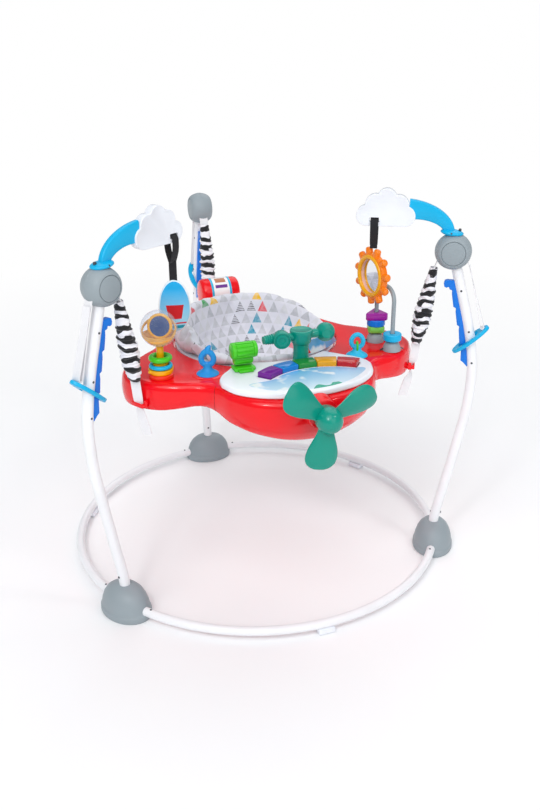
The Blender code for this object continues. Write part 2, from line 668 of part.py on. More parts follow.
def make_console(tray):
    """White panel with a recess for the keys, and the five keys."""
    height = CONSOLE_TOP - TRAY_TOP - 0.0005
    bm = slab(console_outline(), height, Vector((0, 0, 1)))
    middle = (0, 0, (CONSOLE_TOP + TRAY_TOP + 0.0005) / 2)
    console = piece("console_panel", bm, material("white plastic", WHITE, 0.3), tray, middle)
    bevel(console, 0.004, 1, 60)
    first = 90 + KEY_SPREAD / 2
    recess = key_sector(first - KEY_SPREAD - 0.6, first + 0.6, 0.0008, CONSOLE_TOP - 0.0065, CONSOLE_TOP + 0.01, 14)
    boolean(console, piece("key_recess", recess, None, tray, cutter=True))
    share = KEY_SPREAD / len(KEY_COLOURS)
    for k, (colour, shade) in enumerate(KEY_COLOURS.items()):
        start = first - share * (k + 1) + 0.25
        key = key_sector(start, start + share - 0.5, 0.0, CONSOLE_TOP - 0.0025, CONSOLE_TOP + 0.0065, 3)
        piece("key_" + colour, key, material(colour + " translucent plastic", shade, 0.1), tray)


def make_propeller(tray):
    """Three blades on a domed hub, with a shaft into the nose of the tray."""
    teal = material("teal plastic", TEAL, 0.25)
    profile = [(0.0, 0.031), (0.009, 0.0295), (0.018, 0.024), (0.0235, 0.015), (0.025, 0.004), (0.0225, -0.008),
               (0.0215, -0.0205), (SHAFT_RADIUS, -0.0205), (SHAFT_RADIUS, -0.038), (0.0, -0.038)]
    bm = turned(profile, 16)
    bmesh.ops.rotate(bm, verts=bm.verts[:], matrix=Matrix.Rotation(math.pi / 2, 3, "X"))
    propeller = piece("propeller", bm, teal, tray, PROPELLER_CENTRE)
    for k in range(3):
        half = PROPELLER_REACH / 2 - 0.003
        blade = ball((0.0295, 0.0055, half), (0, 0, half + 0.006), rows=6)
        for vert in blade.verts:
            vert.co.x *= 0.82 + 3.6 * vert.co.z * (1 if vert.co.z < 0.05 else 0.05 / vert.co.z)
        turn = Matrix.Rotation(math.radians(-50 + 120 * k), 4, "Y") @ Matrix.Rotation(math.radians(14), 4, "Z")
        bmesh.ops.transform(blade, verts=blade.verts[:], matrix=Matrix.Translation((0, 0.006, 0)) @ turn)
        form = piece("blade_form_%d" % (k + 1), blade, None, tray, PROPELLER_CENTRE, cutter=True)
        boolean(propeller, form, "UNION")


def lying(radius, length, centre, axis="Y", sides=16):
    """A cylinder lying along X or Y."""
    bm = bmesh.new()
    turn = Matrix.Rotation(math.pi / 2, 4, "Y" if axis == "X" else "X")
    bmesh.ops.create_cone(bm, cap_ends=True, segments=sides, radius1=radius, radius2=radius, depth=length,
                          matrix=Matrix.Translation(centre) @ turn)
    return bm


def make_yoke(tray):
    """Steering yoke: a column on the console and a head with two grips that turns on it."""
    teal = material("teal plastic", TEAL, 0.25)
    low = CONSOLE_TOP + 0.0004
    column = turned([(0.0, 0.0), (0.0155, 0.0), (0.0155, 0.006), (0.0130, 0.016), (0.0160, 0.036), (0.0100, 0.036),
                     (0.0100, 0.046), (0.0, 0.046)], 14)
    piece("yoke_post", column, teal, tray, (*YOKE_PLACE, low))
    head_place = (*YOKE_PLACE, low + 0.0364)
    head = turned_ring([(0.0106, 0.0), (0.0195, 0.0), (0.0215, 0.012), (0.0225, 0.0260), (0.0180, 0.0280),
                        (0.0106, 0.0280)], 16)
    made = piece("yoke_head", head, teal, tray, head_place)
    made.rotation_euler.z = math.radians(YOKE_TURN)
    forms = (
        lying(0.0085, 0.030, (-0.031, 0, 0.0150), "X", 8),
        lying(0.0175, 0.022, (-0.044, -0.004, 0.0150), "Y", 14),
        lying(0.0105, 0.038, (-0.064, 0.004, 0.0150), "X", 10),
        lying(0.0085, 0.030, (0.031, 0, 0.0150), "X", 8),
        ball((0.0195, 0.0180, 0.0195), (0.052, -0.002, 0.0150), rows=6),
    )
    for k, form in enumerate(forms):
        helper = piece("yoke_form_%d" % (k + 1), form, None, tray, head_place, cutter=True)
        helper.rotation_euler.z = math.radians(YOKE_TURN)
        boolean(made, helper, "UNION")


def make_rattle(tray):
    """Clear globe that spins on a stem, a loose ring on the stem, and the stacked cup that holds it."""
    place = (*RATTLE_PLACE, TRAY_TOP + 0.0004)
    stand = turned([(0.0, 0.0), (0.0235, 0.0), (0.0240, 0.006), (0.0225, 0.0075), (0.0245, 0.017), (0.0185, 0.0185),
                    (0.0225, 0.0215), (0.0225, 0.0270), (0.0160, 0.0305), (0.0072, 0.0315), (0.0072, 0.0640),
                    (0.0045, 0.0640), (0.0045, 0.0760), (0.0, 0.0760)], 14)
    piece("rattle_stand", stand, material("yellow plastic", YELLOW, 0.3), tray, place)
    section = [(0.0168 + a, 0.0390 + b) for a, b in circle(0.0056, 6)]
    piece("rattle_ring", turned_ring(section, 16), material("green plastic", GREEN, 0.3), tray, place)
    globe = [(0.0049, 0.0645)]
    for k in range(1, 9):
        angle = math.radians(-72 + 18.5 * k)
        globe.append((GLOBE_RADIUS * math.cos(angle), 0.0995 + GLOBE_RADIUS * math.sin(angle)))
    globe += [(0.0, 0.0995 + GLOBE_RADIUS), (0.0, 0.0775), (0.0049, 0.0775)]
    clear = material("clear plastic", (0.9, 0.9, 0.85), 0.05)
    piece("rattle_globe", closed_turning(globe, 16), clear, tray, place)


def closed_turning(profile, sides):
    """A solid turned about Z whose closed profile touches the axis, so it may have a blind hole."""
    bm = bmesh.new()
    loops = []
    for radius, height in [*profile, profile[0]]:
        if radius == 0:
            loops.append([bm.verts.new((0, 0, height))])
        else:
            loops.append([bm.verts.new((x, y, height)) for x, y in circle(radius, sides)])
    for vert in loops.pop():
        bm.verts.remove(vert)
    loops.append(loops[0])
    for first, second in zip(loops, loops[1:]):
        if len(first) == 1 and len(second) == 1:
            continue
        for k in range(sides):
            m = (k + 1) % sides
            between_loops(bm, first, second, k, m)
    return bm


def make_flip_toy(tray):
    """Green barrel on a springy neck that is bent back and forth, and its foot on the console."""
    green = material("green plastic", GREEN, 0.25)
    low = CONSOLE_TOP + 0.0004
    place = (*FLIP_PLACE, low)
    foot = piece("flip_toy_foot", block((0.044, 0.026, 0.008), (0, 0, 0.004)), green, tray, place)
    bevel(foot, 0.003, 1)
    pivot = (FLIP_PLACE[0], FLIP_PLACE[1], low + 0.0084)
    path = smooth_path([(0, 0.006, 0.0016), (0, 0.0075, 0.0080), (0, 0.006, 0.018), (0, -0.001, 0.028)], 3)
    neck = sweep(path, strip(0.006, 0.034), Vector((1, 0, 0)))
    toy = piece("flip_toy", lying(0.0165, 0.053, (0, -0.002, 0.0330), "X", 16), green, tray, pivot)
    bevel(toy, 0.004, 1)
    boolean(toy, piece("flip_neck_form", neck, None, tray, pivot, cutter=True), "UNION")


def make_teether(name, tray, low, height, tube, turn, knob):
    """A soft ring standing on a cone."""
    blue = material("blue silicone", (0.0, 0.30, 0.70), 0.4)
    place = (*TEETHER_PLACES[name], low)
    cone = turned([(0.0, 0.0), (0.0225, 0.0), (0.0200, 0.005), (0.0110, 0.011), (0.0075, height - 0.012),
                   (0.0, height - 0.010)], 12)
    teether = piece("loop_teether_" + name, cone, blue, tray, place)
    path = [Vector((0.0125 * math.cos(k * math.pi / 7), 0, height + 0.0125 * math.sin(k * math.pi / 7)))
            for k in range(14)]
    forms = [sweep(path, circle(tube, 6), closed=True)]
    if knob:
        forms.append(ball((0.0055, 0.0055, 0.0120), (0.004, 0, height + 0.0225), rows=4))
    for k, form in enumerate(forms):
        helper = piece("teether_form_%s_%d" % (name, k + 1), form, None, tray, place, cutter=True)
        helper.rotation_euler.z = math.radians(turn)
        boolean(teether, helper, "UNION")


def make_bead_arch(tray):
    """Bent rod on two domes, with three beads on the rear post and a nut on the front one."""
    grey = material("grey plastic", GREY, 0.4)
    low = TRAY_TOP + 0.0004
    rear, front = (Vector((*post, low)) for post in BEAD_POSTS)
    span = front - rear
    half = span.length / 2
    path = [rear + Vector((0, 0, 0.010)), rear + Vector((0, 0, ARCH_STRAIGHT))]
    for k in range(1, 7):
        angle = math.pi * (1 - k / 7)
        path.append((rear + front) / 2 + span.normalized() * half * math.cos(angle)
                    + Vector((0, 0, ARCH_STRAIGHT + half * math.sin(angle))))
    path += [front + Vector((0, 0, ARCH_STRAIGHT)), front + Vector((0, 0, 0.010))]
    side = span.normalized().cross(Vector((0, 0, 1)))
    arch = piece("bead_arch", sweep(path, circle(ARCH_ROD_RADIUS, 8), side), grey, tray)
    for k, post in enumerate((rear, front)):
        dome = turned([(0.0, 0.0), (0.0190, 0.0), (0.0180, 0.008), (0.0140, 0.016), (0.0070, 0.0215), (0.0, 0.0215)],
                      12)
        helper = piece("dome_form_%d" % (k + 1), dome, None, tray, post, cutter=True)
        boolean(arch, helper, "UNION")

    beads = (("bead_green", GREEN, rear, 0.0225, 0.0115, 0.0190, 4, 45), ("bead_blue", BLUE, rear, 0.0345, 0.0125,
             0.0190, 16, 0), ("bead_purple", (0.35, 0.02, 0.35), rear, 0.0475, 0.0145, 0.0225, 3, 20),
             ("bead_nut", CYAN, front, 0.0225, 0.0145, 0.0195, 6, 10))
    for name, colour, post, height, thick, radius, corners, turn in beads:
        sides = 18
        bm = bmesh.new()
        rings = []
        for level in (0.0, thick):
            for inner in (False, True) if level == 0.0 else (True, False):
                ring = []
                for k in range(sides):
                    angle = 2 * math.pi * k / sides
                    reach = ARCH_ROD_RADIUS + 0.0012 if inner else radius * rounded_polygon(angle, corners)
                    spot = angle + math.radians(turn)
                    ring.append(bm.verts.new((reach * math.cos(spot), reach * math.sin(spot), level)))
                rings.append(ring)
        for first, second in zip(rings, [*rings[1:], rings[0]]):
            for k in range(sides):
                m = (k + 1) % sides
                bm.faces.new((first[k], first[m], second[m], second[k]))
        piece(name, bm, material(name + " plastic", colour, 0.3), tray, post + Vector((0, 0, height)))


def rounded_polygon(angle, corners):
    """Reach of a rounded regular polygon at an angle, 1 at its corners."""
    if corners > 12:
        return 1.0
    sector = 2 * math.pi / corners
    away = (angle + sector / 2) % sector - sector / 2
    flat = math.cos(sector / 2) / math.cos(sector / 2 - abs(away))
    return min(1.0, flat * 1.16)


def seat_back(degrees):
    """How far the seat's edge rises at an angle: 1 behind the child, 0 in front."""
    share = min(1.0, max(0.0, (math.sin(math.radians(degrees - 25.0)) + 0.40) / 1.05))
    return share * share * (3 - 2 * share)


def make_seat(tray):
    """Fabric bucket with two leg holes, on a ring that turns in the tray."""
    ring = turned_ring([(0.1520, 0.4700), (0.1755, 0.4700), (0.1755, 0.4860), (0.1520, 0.4860)], 30)
    piece("seat_ring", ring, material("white plastic", WHITE, 0.4), tray)
    degrees = [12.0 * k for k in range(30)]
    bm = bmesh.new()
    outer = ((0.060, 0.3640), (0.095, 0.3780), (0.128, 0.4150), (0.1480, 0.4600), (0.1500, 0.4880), (0.1740, 0.4900),
             (0.1755, 0.5040))
    inner = ((0.1660, 0.5070), (0.1480, 0.4960), (0.1400, 0.4620), (0.1200, 0.4220), (0.088, 0.3870), (0.055, 0.3740))

    def height_at(height):
        return lambda a: height + SEAT_RISE * seat_back(a) * max(0.0, height - 0.4900) / 0.0140

    def lean_at(radius, height):
        return lambda a: radius - SEAT_LEAN * seat_back(a) * max(0.0, height - 0.4900) / 0.0140

    rings = [polar_loop(bm, degrees, lean_at(r, z), height_at(z)) for r, z in (*outer, *inner)]
    for first, second in zip(rings, rings[1:]):
        for k in range(30):
            m = (k + 1) % 30
            bm.faces.new((first[k], first[m], second[m], second[k]))
    bm.faces.new(rings[0])
    bm.faces.new(rings[-1])
    seat = piece("seat_fabric", bm, material("printed fabric", (0.75, 0.76, 0.78), 0.9), tray)
    for name, angle in (("left", -122.0), ("right", -58.0)):
        a = math.radians(angle)
        hole = ball((0.046, 0.046, 0.036), (0.098 * math.cos(a), 0.098 * math.sin(a), 0.402), rows=7)
        boolean(seat, piece("leg_hole_" + name, hole, None, tray, cutter=True))


def main():
    """Clears the scene and builds the jumper."""
    for old in list(bpy.data.objects):
        bpy.data.objects.remove(old, do_unlink=True)
    jumper = empty("jumper", location=(0, ORIGIN_SHIFT, 0))
    make_base_tubes(jumper)
    for name, angle in LEG_ANGLES.items():
        plane = empty("plane_" + name, jumper, turn=angle)
        make_leg(name, plane)
        make_adjuster(name, plane)
        make_straps_and_spring(name, plane)
        make_tray_strap(name, plane)
        if name != "rear":
            make_toy_arm(name, plane)
        if name == "left":
            make_plush_toy(plane)
        if name == "right":
            make_sun_toy(plane)
    tray = empty("tray", jumper)
    make_tray_shell(tray)
    make_console(tray)
    make_propeller(tray)
    make_yoke(tray)
    make_rattle(tray)
    make_flip_toy(tray)
    make_teether("left", tray, TRAY_TOP + 0.0004, 0.0340, 0.0052, -20.0, True)
    make_teether("right", tray, TRAY_TOP + 0.0004, 0.0330, 0.0048, -20.0, False)
    make_bead_arch(tray)
    make_seat(tray)


main()
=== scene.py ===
"""Finished look of an activity jumper: a padded seat in a toy tray, hung from a round floor frame.

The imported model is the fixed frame. Each operator makes one group of pieces in the places that the
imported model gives, and each piece rides on the body that carries it.
"""

import json
import math

import bmesh
import bpy
from bpy.props import FloatProperty, FloatVectorProperty, PointerProperty
from mathutils import Matrix, Vector, noise


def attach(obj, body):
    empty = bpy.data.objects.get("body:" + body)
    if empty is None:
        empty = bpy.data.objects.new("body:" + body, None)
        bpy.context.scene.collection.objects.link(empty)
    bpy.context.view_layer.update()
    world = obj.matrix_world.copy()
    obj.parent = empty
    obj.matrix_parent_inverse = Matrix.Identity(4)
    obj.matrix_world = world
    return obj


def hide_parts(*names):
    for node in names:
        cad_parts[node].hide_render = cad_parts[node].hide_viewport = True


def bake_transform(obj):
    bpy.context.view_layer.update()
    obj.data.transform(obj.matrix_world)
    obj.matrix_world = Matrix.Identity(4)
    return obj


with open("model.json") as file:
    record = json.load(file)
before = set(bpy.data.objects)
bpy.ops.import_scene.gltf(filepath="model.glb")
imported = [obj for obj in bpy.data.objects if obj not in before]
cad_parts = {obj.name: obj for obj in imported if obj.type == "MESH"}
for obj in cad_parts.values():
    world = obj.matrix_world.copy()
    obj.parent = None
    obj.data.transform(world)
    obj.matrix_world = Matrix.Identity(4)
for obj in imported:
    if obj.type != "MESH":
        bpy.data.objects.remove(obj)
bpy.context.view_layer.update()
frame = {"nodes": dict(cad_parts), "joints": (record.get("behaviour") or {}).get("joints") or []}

bl_info = {
    "name": "Activity jumper",
    "version": (1, 0, 0),
    "blender": (4, 5, 0),
    "location": "3D View > Sidebar > Jumper",
    "description": "Makes the finished pieces of an activity jumper round its packed frame",
    "category": "Add Mesh",
}

JOINTS = {joint["name"]: joint for joint in frame["joints"]}
MIDDLE_Y = JOINTS["seat_spin"]["pos_m"][1]  # the floor ring's middle; the row origin is under the whole box
SIDES = {"left": 210.0, "right": 330.0, "rear": 90.0}  # direction of each leg in degrees
TAIL = (0, 0.272, 0.521)  # middle of the tray's tail hump, from the ring's middle
PRINT_Y = -0.300  # middle of the console's picture
X, Y, Z = Vector((1, 0, 0)), Vector((0, 1, 0)), Vector((0, 0, 1))


# ---------------------------------------------------------------- sizes and colours

def length(name, value, text):
    """A size that a user may change, in metres."""
    return FloatProperty(name=name, description=text, default=value, unit="LENGTH", subtype="DISTANCE")


def linear(hex_value):
    """Linear colour of an sRGB hex value such as #F4F4F4."""
    parts = [int(hex_value[k:k + 2], 16) / 255 for k in (1, 3, 5)]
    return tuple(c / 12.92 if c <= 0.04045 else ((c + 0.055) / 1.055) ** 2.4 for c in parts)


def colour(name, hex_value, text):
    """A colour that a user may change."""
    return FloatVectorProperty(name=name, description=text, default=linear(hex_value), subtype="COLOR",
                               size=3, min=0.0, max=1.0)


class JumperFrameSizes(bpy.types.PropertyGroup):
    """Sizes of the floor frame and of what hangs on it."""

    ring_radius: length("Ring radius", 0.420, "Radius of the floor ring's centre line")
    ring_tube: length("Ring tube radius", 0.0095, "Outer radius of the floor ring's tube")
    ring_height: length("Ring height", 0.020, "Height of the floor ring's centre line")
    leg_tube: length("Leg tube radius", 0.011, "Outer radius of a leg's tube")
    hub_radius: length("Hub radius", 0.0375, "Radius of the drum on top of a leg")
    hub_width: length("Hub width", 0.053, "Width of the drum along its axis")
    webbing: length("Webbing width", 0.020, "Width of the white webbing")
    toy_webbing: length("Toy strap width", 0.016, "Width of the black straps that the toys hang on")
    cover_belly: length("Cover belly", 0.0176, "Radius of a spring cover at its fullest")
    gather: length("Gather depth", 0.0034, "Depth of the gathers in a spring cover")


class JumperTraySizes(bpy.types.PropertyGroup):
    """Sizes of the tray, its seat and its toys."""

    top: length("Tray height", 0.4920, "Height of the tray's top face")
    hole: length("Seat hole radius", 0.180, "Radius of the hole that the seat hangs in")
    wall: length("Wall", 0.003, "Thickness of the tray's moulded wall")
    skirt: length("Skirt", 0.055, "Depth of the tray's side")
    nose_drop: length("Nose drop", 0.042, "How much deeper the side is at the nose")
    console_top: length("Console height", 0.5050, "Height of the white console's top face")
    seat_rise: length("Seat rise", 0.040, "How far the seat's edge rises behind the child")
    blade_reach: length("Blade reach", 0.103, "Length of a propeller blade from the hub's axis")
    globe: length("Globe radius", 0.0365, "Radius of the clear rattle globe")
    rod: length("Arch rod radius", 0.0045, "Radius of the bead arch's rod")


class JumperColours(bpy.types.PropertyGroup):
    """Colours of the moulded and woven finishes."""

    white: colour("Powder coat white", "#F4F5F8", "Tubes of the frame")
    shell_white: colour("Moulded white", "#F1F4FB", "Clouds and console")
    grey: colour("Slate grey", "#97A2A8", "Hubs and feet")
    cyan: colour("Cyan", "#08B2E4", "Toy arms, height discs and nut")
    blue: colour("Blue", "#0878E2", "Height racks and bead")
    red: colour("Red", "#F30416", "Tray shell")
    teal: colour("Teal", "#009380", "Propeller and yoke")
    yellow: colour("Yellow", "#F7AE04", "Rattle stand and sun ring")
    orange: colour("Orange", "#FB820C", "Petals of the sun")
    green: colour("Green", "#46C81E", "Roller toy and rattle ring")
    purple: colour("Purple", "#A31BA0", "Three-cornered bead")
    teether: colour("Teether blue", "#1F93DC", "Soft loop teether")
    webbing: colour("Webbing white", "#F3F3F6", "Straps")
    black: colour("Black", "#17171B", "Toy straps and fabric stripes")


# ---------------------------------------------------------------- mesh makers

def smooth_path(points, steps=6, closed=False):
    """Points of a Catmull-Rom curve through the given points."""
    points = [Vector(point) for point in points]
    if closed:
        ends = [points[-1], *points, points[0], points[1]]
    else:
        ends = [2 * points[0] - points[1], *points, 2 * points[-1] - points[-2]]
    path = []
    for a, b, c, d in zip(ends, ends[1:], ends[2:], ends[3:]):
        for step in range(steps):
            t = step / steps
            path.append(0.5 * (2 * b + (c - a) * t + (2 * a - 5 * b + 4 * c - d) * t * t
                               + (3 * b - 3 * c + d - a) * t ** 3))
    return path if closed else [*path, points[-1]]


def ring(radius, sides):
    """A round section as pairs."""
    return [(radius * math.cos(2 * math.pi * k / sides), radius * math.sin(2 * math.pi * k / sides))
            for k in range(sides)]


def strip(thick, width, corner=0.0):
    """A flat section as pairs, its four corners cut back by corner."""
    a, b, c = thick / 2, width / 2, corner
    if not c:
        return [(-a, -b), (a, -b), (a, b), (-a, b)]
    near = 0.3 * c
    return [(-a + c, -b), (a - c, -b), (a - near, -b + near), (a, -b + c), (a, b - c), (a - near, b - near),
            (a - c, b), (-a + c, b), (-a + near, b - near), (-a, b - c), (-a, -b + c), (-a + near, -b + near)]


def lofted(levels, joined=False, cap=True):
    """A skin through loops of equal numbers of points, each extruded from the one before it."""
    bm = bmesh.new()
    verts = [bm.verts.new(point) for point in levels[0]]
    edges = [bm.edges.new(pair) for pair in zip(verts, verts[1:] + verts[:1])]
    for level in [*levels[1:], levels[0]] if joined else levels[1:]:
        grown = set(bmesh.ops.extrude_edge_only(bm, edges=edges)["geom"])
        verts = [next(e.other_vert(v) for e in v.link_edges if e.other_vert(v) in grown) for v in verts]
        for vert, point in zip(verts, level):
            vert.co = point
        edges = [bm.edges.get(pair) for pair in zip(verts, verts[1:] + verts[:1])]
    if joined:
        bmesh.ops.remove_doubles(bm, verts=bm.verts[:], dist=1e-6)
    elif cap:
        bmesh.ops.holes_fill(bm, edges=[e for e in bm.edges if e.is_boundary], sides=0)
    bmesh.ops.recalc_face_normals(bm, faces=bm.faces[:])
    return bm


def swept(points, section, side=Y, closed=False, cap=True):
    """A section carried along a path; side is square to the path, and section may be a function of 0 to 1."""
    points = [Vector(point) for point in points]
    count = len(points)
    levels = []
    for k, point in enumerate(points):
        before = points[k - 1] if closed or k else point
        after = points[(k + 1) % count] if closed or k < count - 1 else point
        along = (after - before).normalized()
        across = side.cross(along).normalized()
        up = along.cross(across)
        pairs = section(k / (count - 1)) if callable(section) else section
        levels.append([point + across * a + up * b for a, b in pairs])
    return lofted(levels, closed, cap)


def lathe(profile, steps=40, joined=False):
    """A turned solid about Z from (radius, height) pairs that start and end on the axis, or a joined ring."""
    bm = bmesh.new()
    verts = [bm.verts.new((radius, 0, height)) for radius, height in profile]
    pairs = list(zip(verts, verts[1:])) + ([(verts[-1], verts[0])] if joined else [])
    edges = [bm.edges.new(pair) for pair in pairs]
    bmesh.ops.spin(bm, geom=verts + edges, cent=(0, 0, 0), axis=Z, angle=2 * math.pi, steps=steps,
                   use_merge=True)
    bmesh.ops.remove_doubles(bm, verts=bm.verts[:], dist=1e-6)
    bmesh.ops.recalc_face_normals(bm, faces=bm.faces[:])
    return bm


def torus(ring_radius, tube_radius, steps=40, sides=14, height=0.0):
    """A round ring about Z."""
    return lathe([(ring_radius + a, height + b) for a, b in ring(tube_radius, sides)], steps, joined=True)


def ball(half_sizes, segments=32):
    """An ellipsoid about the origin."""
    bm = bmesh.new()
    bmesh.ops.create_uvsphere(bm, u_segments=segments, v_segments=segments // 2, radius=1.0,
                              matrix=Matrix.Diagonal((*half_sizes, 1.0)))
    return bm


def rounded(bm, width, segments=2, angle=35):
    """Rounds the sharp edges of a bmesh."""
    edges = [e for e in bm.edges if len(e.link_faces) == 2 and e.calc_face_angle(0) > math.radians(angle)]
    bmesh.ops.bevel(bm, geom=edges, offset=width, offset_type="OFFSET", segments=segments, profile=0.5,
                    affect="EDGES", clamp_overlap=True, material=-1)
    return bm


def block(size, edge=0.001, segments=2):
    """A box with rounded edges about the origin."""
    bm = bmesh.new()
    bmesh.ops.create_cube(bm, size=1.0, matrix=Matrix.Diagonal((*size, 1.0)))
    return rounded(bm, edge, segments)


def plate(outline, thick, normal=Z, edge=0.001, segments=2):
    """A flat outline with a thickness, half each way, and rounded rims."""
    bm = bmesh.new()
    face = bm.faces.new([bm.verts.new(Vector(point) - normal * thick / 2) for point in outline])
    grown = bmesh.ops.extrude_face_region(bm, geom=[face])["geom"]
    bmesh.ops.translate(bm, verts=[g for g in grown if isinstance(g, bmesh.types.BMVert)], vec=normal * thick)
    bmesh.ops.recalc_face_normals(bm, faces=bm.faces[:])
    return rounded(bm, edge, segments, 60) if edge else bm


def shift(x, y, z):
    """A move by three distances."""
    return Matrix.Translation((x, y, z))


def moved(bm, *matrices):
    """The bmesh after these matrices, the last one first."""
    for matrix in reversed(matrices):
        bmesh.ops.transform(bm, matrix=matrix, verts=bm.verts[:])
    return bm


def merged(*parts):
    """Several bmeshes as one."""
    whole = bmesh.new()
    for bm in parts:
        mesh = bpy.data.meshes.new("part")
        bm.to_mesh(mesh)
        bm.free()
        whole.from_mesh(mesh)
        bpy.data.meshes.remove(mesh)
    return whole


def cut(target, cutter, operation="DIFFERENCE"):
    """The first bmesh after a Boolean with the second."""
    pair = []
    for bm in (target, cutter):
        mesh = bpy.data.meshes.new("cut")
        bm.to_mesh(mesh)
        bm.free()
        pair.append(bpy.data.objects.new("cut", mesh))
        bpy.context.scene.collection.objects.link(pair[-1])
    modifier = pair[0].modifiers.new("cut", "BOOLEAN")
    modifier.object, modifier.operation, modifier.solver = pair[1], operation, "EXACT"
    shape = pair[0].evaluated_get(bpy.context.evaluated_depsgraph_get())
    result = bmesh.new()
    result.from_mesh(shape.to_mesh())
    shape.to_mesh_clear()
    for obj in pair:
        mesh = obj.data
        bpy.data.objects.remove(obj)
        bpy.data.meshes.remove(mesh)
    return result


def wrinkle(bm, depth, size, seed=0.0, share=None):
    """Moves each vertex along its normal by smooth noise; share says how much of it a point takes."""
    bm.normal_update()
    shifts = []
    for vert in bm.verts:
        amount = depth * noise.noise(vert.co / size + Vector((seed, 0, -seed)))
        shifts.append(vert.normal * amount * (share(vert.co) if share else 1.0))
    for vert, shift in zip(bm.verts, shifts):
        vert.co += shift
    return bm


def finish(name, parts, body=None, replaces=(), angle=40, subdivide=0):
    """One finished piece from pairs of bmesh and name of finish, at the origin, riding on its body."""
    mesh = bpy.data.meshes.new(name)
    whole = bmesh.new()
    for index, (bm, shade) in enumerate(parts):
        for face in bm.faces:
            face.material_index = index
        mesh.materials.append(Finishes.get(shade))
    for bm, _ in parts:
        part = bpy.data.meshes.new("part")
        bm.to_mesh(part)
        bm.free()
        whole.from_mesh(part)
        bpy.data.meshes.remove(part)
    whole.to_mesh(mesh)
    whole.free()
    mesh.shade_smooth()
    mesh.set_sharp_from_angle(angle=math.radians(angle))
    made = bpy.data.objects.new(name, mesh)
    bpy.context.scene.collection.objects.link(made)
    if subdivide:
        modifier = made.modifiers.new("smooth", "SUBSURF")
        modifier.levels = modifier.render_levels = subdivide
    if body:
        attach(made, body)
    if replaces:
        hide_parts(*replaces)
    return made


def leg_plane(side):
    """The upright plane of a leg: local X is the distance from the ring's middle."""
    return shift(0, MIDDLE_Y, 0) @ Matrix.Rotation(math.radians(SIDES[side]), 4, "Z")


def at(x, y, z, turn=0.0):
    """A place on the tray, measured from the ring's middle, turned about Z by degrees."""
    return shift(x, MIDDLE_Y + y, z) @ Matrix.Rotation(math.radians(turn), 4, "Z")


def spot(point, direction):
    """A matrix at a point whose local Z looks along direction."""
    return Matrix.Translation(point) @ Vector(direction).to_track_quat("Z", "Y").to_matrix().to_4x4()


def turned(degrees, axis):
    """A turn about one axis."""
    return Matrix.Rotation(math.radians(degrees), 4, axis)


def screw(radius=0.0030, height=0.0014):
    """A domed screw head with a cross recess, facing local Z."""
    head = lathe([(0, height), (radius * 0.5, height * 0.95), (radius * 0.85, height * 0.6), (radius, 0),
                  (radius, -0.0008), (0, -0.0008)], 20)
    for turn in (0, 90):
        slot = moved(block((radius * 1.2, radius * 0.3, height), 0.0001, 1),
                     shift(0, 0, height) @ turned(turn, "Z"))
        head = cut(head, slot)
    return head


# ---------------------------------------------------------------- materials

def add(tree, kind, settings=None, **inputs):
    """Adds a node: settings are its properties, and inputs its sockets, by name or as s0, s1 and so on."""
    made = tree.nodes.new("ShaderNode" + kind)
    for key, value in (settings or {}).items():
        setattr(made, key, value)
    for key, value in inputs.items():
        socket = made.inputs[int(key[1:])] if key[0] == "s" and key[1:].isdigit() else made.inputs[
            key.replace("_", " ")]
        if isinstance(value, bpy.types.NodeSocket):
            tree.links.new(value, socket)
        else:
            socket.default_value = value
    return made


def maths(tree, operation, **inputs):
    """A maths node."""
    return add(tree, "Math", {"operation": operation}, **inputs)


def mix(tree, **inputs):
    """A node that mixes two colours, s6 and s7, by a factor, s0; the colour is output 2."""
    return add(tree, "Mix", {"data_type": "RGBA"}, **inputs)


def raised(tree, shader, height, distance, strength):
    """Gives a shader the bump of a height in metres."""
    bump = add(tree, "Bump", Height=height, Distance=distance, Strength=strength)
    tree.links.new(bump.outputs[0], shader.inputs["Normal"])


def start(name, shade, roughness, **settings):
    """A Principled material: its tree, its shader and its object coordinates."""
    material = bpy.data.materials.new(name)
    material.use_nodes = True
    tree = material.node_tree
    shader = tree.nodes["Principled BSDF"]
    shader.inputs["Base Color"].default_value = (*shade, 1.0)
    shader.inputs["Roughness"].default_value = roughness
    for key, value in settings.items():
        shader.inputs[key.replace("_", " ")].default_value = value
    place = add(tree, "TexCoord").outputs["Object"]
    return material, tree, shader, place


def moulded(name, shade, roughness, grain_mm, depth_mm, **settings):
    """Injection-moulded ABS: even colour with faint flow marks, and the fine grain of its tool."""
    material, tree, shader, place = start(name, shade, roughness, Specular_IOR_Level=0.35, **settings)
    flow = add(tree, "TexNoise", Vector=place, Scale=14.0, Detail=2.0)
    mixed = mix(tree, s0=flow.outputs["Fac"], s6=(*[c * 0.93 for c in shade], 1),
                s7=(*[min(1.0, c * 1.05) for c in shade], 1))
    tree.links.new(mixed.outputs[2], shader.inputs["Base Color"])
    worn = add(tree, "MapRange", s0=flow.outputs["Fac"], s3=roughness * 0.85, s4=min(1.0, roughness * 1.2))
    tree.links.new(worn.outputs[0], shader.inputs["Roughness"])
    grain = add(tree, "TexNoise", Vector=place, Scale=1000.0 / grain_mm, Detail=1.0)
    raised(tree, shader, grain.outputs["Fac"], depth_mm / 1000, 0.6)
    return material


def powder_coat(name, shade):
    """Polyester powder coat on steel tube: satin, with the slight orange peel that baking leaves."""
    return moulded(name, shade, 0.30, 2.5, 0.05, Coat_Weight=0.2, Coat_Roughness=0.15)


